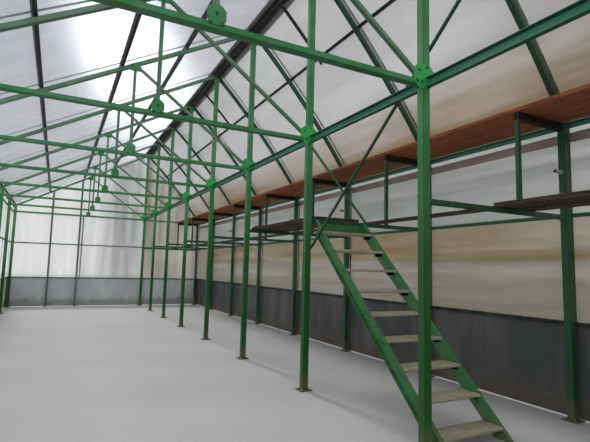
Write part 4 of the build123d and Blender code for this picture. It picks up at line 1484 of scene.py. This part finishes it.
@dataclass
class Glazing:
    """Sheets of the roof, walls and gables, with what joins and holds them."""

    kit: Kit
    bar: Strip = Strip(0.05, 0.036, 0.004)
    edge_strip: Strip = Strip(0.038, 0.034, 0.002)
    flashing: Strip = Strip(0.1, 0.096, 0.002)
    trim: Strip = Strip(0.09, 0.084, 0.003)
    arc_points: int = 24
    cap_reach: float = 0.16
    verge_gap: float = 0.005
    wall_bar_tops: Pair = (3.38, 3.2)
    gable_bar_top: float = 3.157
    gable_inner_bars: tuple[Pair, ...] = ((1.0, 2.11), (2.15, 3.14))
    gable_top_bar: Pair = (3.18, 5.6)
    tie_bar: Pair = (-3.17, 3.17)
    middle_joint: float = -1.01
    door_sides: Pair = (-1.99, -1.11)
    door_head: float = 2.14
    screw_pitch: float = 0.3
    screw_end: float = 9.3
    sill_screws: float = 0.992
    eave_screws: float = 3.13
    gable_screws: Pair = (-3.0, 3.0)
    near_screws: tuple[Pair, ...] = ((-3.0, -2.05), (-1.05, 3.0))
    edge_gap: float = 0.002
    edge_insets: Pair = (0.022, 0.016)
    trim_ends: Pair = (-9.5, 9.5)
    flashing_height: float = 3.0
    trim_height: float = 2.985

    def dress_sheets(self) -> None:
        """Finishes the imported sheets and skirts."""
        finishes, dress = self.kit.finishes, self.kit.dress
        dress(finishes.left_roof, "left_roof_sheets")
        dress(finishes.right_roof, "right_roof_sheets")
        dress(finishes.wall, "right_wall_sheets")
        dress(finishes.gable, "far_gable_sheets", "near_gable_sheets", "left_wall_sheets")
        dress(finishes.skirt, "right_wall_skirt")
        dress(finishes.gable_skirt, "far_gable_skirt", "near_gable_skirt", "left_wall_skirt")

    def roof_bars(self, bars: Carrier) -> None:
        """Covers the joints between the roof sheets, and their edges at the verges."""
        verge, high = LAYOUT.verge_y - self.bar.foot / 2, LAYOUT.verge_x - self.verge_gap
        left, right = (-high, LAYOUT.row_x - self.cap_reach), (LAYOUT.row_x + self.cap_reach, high)
        for y in (-verge, *LAYOUT.frames[1:-1], verge):
            bars.down_roof(y, LAYOUT.roof_top, left, right, self.arc_points)

    def wall_bars(self, bars: Carrier) -> None:
        """Covers the joints between the wall sheets, and their edges at the corners."""
        corner, foot = LAYOUT.gable_sheet_in - self.bar.foot / 2, LAYOUT.sheet_foot
        left_top, right_top = self.wall_bar_tops
        for y in (-corner, *LAYOUT.frames[1:-1], corner):
            bars.upright(LAYOUT.left_x - LAYOUT.sheet_out, y, (foot, left_top), OUT_LEFT)
            bars.upright(LAYOUT.right_x + LAYOUT.sheet_out, y, (foot, right_top), OUT_RIGHT)

    def gable_bars(self, bars: Carrier) -> None:
        """Covers the gable sheets' joints on both faces, and trims the doorway."""
        for gable in Gable:
            outer, inner = gable.value * LAYOUT.gable_sheet_out, gable.value * LAYOUT.gable_sheet_in
            joints = (LAYOUT.row_x,) if gable is Gable.NEAR else (self.middle_joint, LAYOUT.row_x)
            for x in joints:
                bars.upright(x, outer, (LAYOUT.sheet_foot, self.gable_bar_top), gable.out)
                for span in self.gable_inner_bars:
                    bars.upright(x, inner, span, -gable.out)
            bars.upright(LAYOUT.row_x, outer, self.gable_top_bar, gable.out)
            bars.row([(x, outer, LAYOUT.tie_height) for x in self.tie_bar], gable.out)
        near = -LAYOUT.gable_sheet_out
        for x in self.door_sides:
            bars.upright(x, near, (LAYOUT.sheet_foot, self.door_head), OUT_NEAR)
        bars.row([(x, near, self.door_head) for x in self.door_sides], OUT_NEAR)

    def joint_bars(self) -> None:
        """Makes every glazing bar."""
        bars = Carrier("glazing_bars")
        self.roof_bars(bars)
        self.wall_bars(bars)
        self.gable_bars(bars)
        self.kit.strips(bars, self.kit.finishes.aluminium, self.bar)

    def roof_screws(self) -> None:
        """Screws the roof sheets to the purlins."""
        rows, top = Carrier("roof_screws"), LAYOUT.roof_top
        left = [LAYOUT.left_point(LAYOUT.left_x + offset, top).x for offset in LAYOUT.left_purlins]
        right = [LAYOUT.right_point(share, top)[0] for share in LAYOUT.right_purlins]
        rows.along_roof(self.screw_end, top, left, right)
        self.kit.sheet_screws(rows, self.screw_pitch)

    def wall_screws(self) -> None:
        """Screws the wall sheets and skirts to the girts."""
        rows = Carrier("wall_screws")
        places = [(LAYOUT.sheet_out, z) for z in (self.sill_screws, LAYOUT.upper_girt, self.eave_screws)]
        places.append((LAYOUT.skirt_out, LAYOUT.skirt_screws))
        for side, out in ((-1, OUT_LEFT), (1, OUT_RIGHT)):
            for reach, z in places:
                x = side * (LAYOUT.right_x + reach)
                rows.row([(x, y, z) for y in (-self.screw_end, self.screw_end)], out)
        for gable in Gable:
            sheet = gable.value * LAYOUT.gable_sheet_out
            skirt = gable.value * (LAYOUT.gable_sheet_in + LAYOUT.skirt_out - LAYOUT.sheet_in)
            for span in (self.gable_screws,) if gable is Gable.FAR else self.near_screws:
                rows.row([(x, sheet, self.sill_screws) for x in span], gable.out)
                rows.row([(x, skirt, LAYOUT.skirt_screws) for x in span], gable.out)
            rows.row([(x, sheet, LAYOUT.upper_girt) for x in self.gable_screws], gable.out)
        self.kit.sheet_screws(rows, self.screw_pitch)

    def eave_strips(self) -> None:
        """Closes the sheets' low edges and trims the wall under the right eave, inside and out."""
        kit, finishes = self.kit, self.kit.finishes
        edges, flashing, trim = Carrier("eave_strips"), Carrier("eave_flashing"), Carrier("eave_trim")
        left, right = self.edge_insets
        end = LAYOUT.verge_y - self.edge_gap
        edges.along_roof(end, LAYOUT.roof_top, (left - LAYOUT.verge_x,), (LAYOUT.verge_x - right,))
        outer, inner = LAYOUT.right_x + LAYOUT.sheet_out, LAYOUT.right_x + LAYOUT.sheet_in
        flashing.row([(outer, y, self.flashing_height) for y in self.trim_ends], OUT_RIGHT)
        trim.row([(inner, y, self.trim_height) for y in self.trim_ends], OUT_LEFT)
        kit.strips(edges, finishes.aluminium, self.edge_strip)
        kit.strips(flashing, finishes.cap, self.flashing)
        kit.strips(trim, finishes.trim, self.trim)

    def build(self) -> None:
        """Builds the whole sub-assembly."""
        self.dress_sheets()
        self.joint_bars()
        self.roof_screws()
        self.wall_screws()
        self.eave_strips()


@dataclass
class Ridge:
    """Ridge beam, the struts beside it and the folded cap over it."""

    kit: Kit
    cap_leg: float = 0.158
    cap_lift: float = 0.101
    screw_inset: float = 0.03
    screw_end: float = 9.45
    screw_pitch: float = 0.35
    lap: Strip = Strip(0.06, 0.054, 0.0012)
    lap_shift: float = 0.05
    lap_gap: float = 0.004
    arc_lap_gap: float = 0.012
    arc_points: int = 6
    beam_corner: Rounding = Rounding(0.006)
    strut_corner: Rounding = Rounding(0.003, 1)

    def build(self) -> None:
        """Builds the whole sub-assembly."""
        finishes = self.kit.finishes
        self.kit.round_off(self.beam_corner, finishes.ridge, Slot.RIDGE, "ridge_beam")
        self.kit.round_off(self.strut_corner, finishes.ridge, Slot.RIDGE, "ridge_struts")
        self.kit.dress(finishes.cap, "ridge_cap")
        self.cap_screws()
        self.cap_laps()

    def cap_screws(self) -> None:
        """Screws both legs of the cap down."""
        rows, reach = Carrier("ridge_cap_screws"), self.cap_leg - self.screw_inset
        rows.along_roof(self.screw_end, self.cap_lift, (LAYOUT.row_x - reach,), (LAYOUT.row_x + reach,))
        self.kit.sheet_screws(rows, self.screw_pitch)

    def cap_laps(self) -> None:
        """Adds the raised laps where one length of the cap covers the next."""
        laps, ridge, reach = Carrier("ridge_cap_laps"), LAYOUT.row_x, self.cap_leg - self.lap_gap
        left, right = (ridge - reach, ridge - self.lap_gap), (ridge + self.arc_lap_gap, ridge + reach)
        for y in LAYOUT.frames[1:-1]:
            laps.down_roof(y + self.lap_shift, self.cap_lift, left, right, self.arc_points)
        self.kit.strips(laps, self.kit.finishes.cap, self.lap)


@dataclass
class Decks:
    """Both timber decks, the rail and the landing, with their nails."""

    kit: Kit
    sawn: Rounding = Rounding(0.003, 1)
    sawn_and_cut: Rounding = Rounding(0.003, 1, cut_step=0.35)
    inset: float = 0.04
    joint_shift: float = 0.015
    end_gap: float = 0.02
    upper_boards: tuple[float, ...] = (2.31, 2.558, 2.806)
    upper_width: float = 0.24
    upper_top: float = 3.18
    board_bays: int = 3
    landing_boards: tuple[float, ...] = (1.166, 1.399, 1.632)
    landing_width: float = 0.225
    planks: tuple[float, ...] = (1.9595, 2.1325, 2.3825)
    plank_width: float = 0.165
    plank_end: float = -5.25
    lower_top: float = 2.169

    def build(self) -> None:
        """Builds the whole sub-assembly."""
        nodes, finishes, wave = self.kit.nodes, self.kit.finishes, self.kit.trees.uneven_boards
        cut = self.sawn_and_cut
        rounded_copy(nodes["upper_deck_boards"], cut, finishes.deck, Slot.DECK, wave)
        rounded_copy(nodes["lower_deck_planks"], cut, finishes.dark, Slot.DARK, wave)
        rounded_copy(nodes["landing_boards"], cut, finishes.dark, Slot.DARK, wave)
        rounded_copy(nodes["lower_deck_rail"], cut, finishes.dark, Slot.DARK, wave, sideways=0.002)
        rounded_copy(nodes["upper_deck_bearers"], self.sawn, finishes.bearer, Slot.DARK)
        self.nail_boards()

    def nail_boards(self) -> None:
        """Nails each board to each bearer under it, at both sides of a joint."""
        nails = Carrier("deck_nails")

        def nail(starts: Iterable[float], width: float, top: float, y: float) -> None:
            """Puts two nails across each board at one place."""
            for start in starts:
                for x in (start + self.inset, start + width - self.inset):
                    nails.place((x, y, top), UP)

        for i, y in enumerate(LAYOUT.frames):
            for shift in (-self.joint_shift, self.joint_shift) if i % self.board_bays == 0 else (0.0,):
                if abs(y + shift) < LAYOUT.frames[-1]:
                    nail(self.upper_boards, self.upper_width, self.upper_top, y + shift)
        for y in LAYOUT.frames[3:5]:
            nail(self.landing_boards, self.landing_width, self.lower_top, y)
        for y in LAYOUT.frames[:3]:
            nail(self.planks, self.plank_width, self.lower_top, min(y, self.plank_end - self.end_gap))
        flat = {"sides": 10, "head_height": 0.0012, "washer_height": 0.0004}
        self.kit.fasten(nails, self.kit.finishes.zinc, Slot.METAL, across=0.009, **flat)


@dataclass
class Stair:
    """The stair: channel stringers, treads on cleats, and their screws."""

    kit: Kit
    treads: int = 9
    riser: float = 0.231
    going: float = 0.244
    top_y: float = -3.268
    low_x: float = 1.211
    high_x: float = 1.919
    tread_thickness: float = 0.032
    screw_inset: float = 0.02
    screw_shift: float = 0.05
    stringer_corner: Rounding = Rounding(0.0025)
    tread_corner: Rounding = Rounding(0.003)

    def build(self) -> None:
        """Builds the whole sub-assembly."""
        finishes, trees = self.kit.finishes, self.kit.trees
        names = ("stair_left_stringer", "stair_right_stringer")
        self.kit.round_off(self.stringer_corner, finishes.stair, Slot.GREEN, *names)
        self.kit.round_off(self.tread_corner, finishes.tread, Slot.TREAD, "stair_treads")
        cleats, screws = Carrier("tread_cleats"), Carrier("tread_screws")
        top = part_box("stair_treads")[1][2]
        for i in range(self.treads):
            y, z = self.top_y - self.going * i, top - self.riser * i
            cleats.place((self.low_x, y, z - self.tread_thickness), -UP, OUT_FAR)
            cleats.place((self.high_x, y, z - self.tread_thickness), -UP, OUT_NEAR)
            for x in (self.low_x + self.screw_inset, self.high_x - self.screw_inset):
                for shift in (-self.screw_shift, self.screw_shift):
                    screws.place((x, y + shift, z), UP)
        sizes = {"leg": 0.035, "wall": 0.004, "length": 0.16, "bolt_across": 0.015}
        cleats.fill(trees.cleats, Slot.GREEN, finishes.stair, second_finish=finishes.zinc, **sizes)
        flat = {"sides": 10, "head_height": 0.0012, "washer_height": 0.0006}
        self.kit.fasten(screws, finishes.zinc, Slot.METAL, across=0.011, **flat)


@dataclass
class WallPegs:
    """Short pipe pegs on the right wall posts, over the lower deck."""

    kit: Kit
    height: float = 2.6
    length: float = 0.12

    def build(self) -> None:
        """Builds the pegs."""
        pegs = Carrier("post_pegs")
        for y in LAYOUT.frames[1:]:
            pegs.place((LAYOUT.right_x - LAYOUT.half_post, y, self.height), OUT_LEFT)
        pegs.fill(self.kit.trees.pegs, Slot.METAL, self.kit.finishes.zinc, length=self.length)


# Stage


@dataclass(frozen=True)
class Photographer:
    """The camera of the photograph, inside the near gable."""

    place: Point = (-1.740, -8.233, 1.49)
    yaw: float = radians(27.37)
    pitch: float = radians(5.95)
    roll: float = radians(1.42)
    focal_pixels: float = 455.2
    image_width: float = 590.0
    sensor: float = 36.0

    def build(self) -> None:
        """Makes the camera and makes it the scene's own."""
        data = bpy.data.cameras.new("Photographer")
        data.sensor_width = self.sensor
        data.lens = self.focal_pixels / self.image_width * self.sensor
        data.clip_start, data.clip_end = 0.05, 200.0
        camera = bpy.data.objects.new("Photographer", data)
        ahead = Vector((sin(self.yaw) * cos(self.pitch), cos(self.yaw) * cos(self.pitch), sin(self.pitch)))
        level = Vector((cos(self.yaw), -sin(self.yaw), 0))
        above = level.cross(ahead)
        right = level * cos(self.roll) + above * sin(self.roll)
        up = above * cos(self.roll) - level * sin(self.roll)
        turn = Matrix((right, up, -ahead)).transposed().to_4x4()
        camera.matrix_world = Matrix.Translation(self.place) @ turn
        bpy.context.scene.collection.objects.link(camera)
        bpy.context.scene.camera = camera


@dataclass
class Studio:
    """Pale floor, white surroundings and soft light."""

    floor_reach: float = 60.0
    sky: float = 0.95
    sun: float = 1.4
    sun_spread: float = radians(9)
    sun_bearing: float = radians(-5)
    sun_height: float = radians(39)

    def floor(self) -> None:
        """Makes the floor."""
        mesh = bpy.data.meshes.new("studio_floor")
        mesh.from_pydata([(i * self.floor_reach, j * self.floor_reach, 0) for i, j in CORNERS], [], [(0, 1, 2, 3)])
        surface = Surface("Studio floor")
        surface.set(Base_Color=(0.6, 0.6, 0.59, 1.0), Roughness=0.9, Specular_IOR_Level=0.1)
        mesh.materials.append(surface.material)
        new_piece(mesh)

    def surroundings(self) -> None:
        """Makes the world: even light, and plain white wherever it is seen or mirrored."""
        world = bpy.data.worlds.new("Surroundings")
        bpy.context.scene.world = world
        world.use_nodes = True
        web = Web(world.node_tree)
        web.tree.nodes.clear()
        light = web.wire("ShaderNodeBackground", {"Color": (0.96, 0.98, 1.0, 1.0), "Strength": self.sky})
        seen = web.wire("ShaderNodeBackground", {"Color": (1.0, 1.0, 1.0, 1.0), "Strength": 1.0})
        path = web.node("ShaderNodeLightPath").outputs
        shows = Wire(web, path["Is Camera Ray"]).most(Wire(web, path["Is Glossy Ray"]))
        shows = shows.most(Wire(web, path["Is Transmission Ray"]))
        mixed = web.wire("ShaderNodeMixShader", {0: shows, 1: light, 2: seen})
        web.node("ShaderNodeOutputWorld", {"Surface": mixed})

    def lamp(self) -> None:
        """Makes one broad soft lamp over the far gable."""
        data = bpy.data.lights.new("Soft sun", "SUN")
        data.energy, data.angle = self.sun, self.sun_spread
        lamp = bpy.data.objects.new("Soft sun", data)
        level = cos(self.sun_height)
        source = Vector((sin(self.sun_bearing) * level, cos(self.sun_bearing) * level, sin(self.sun_height)))
        lamp.rotation_euler = source.to_track_quat("Z", "Y").to_euler()
        bpy.context.scene.collection.objects.link(lamp)

    def build(self) -> None:
        """Builds the whole stage."""
        self.floor()
        self.surroundings()
        self.lamp()
        bpy.context.scene.view_settings.view_transform = "Standard"


def main() -> None:
    """Loads the frame and builds everything around it."""
    logging.basicConfig(level=logging.INFO, format="%(name)s %(message)s")
    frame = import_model()
    Photographer().build()
    kit = Kit(frame["nodes"], Finishes(), Trees())
    for part in (Steelwork(kit), Glazing(kit), Ridge(kit), Decks(kit), Stair(kit), WallPegs(kit)):
        part.build()
    Studio().build()


if __name__ == "__main__":
    main()
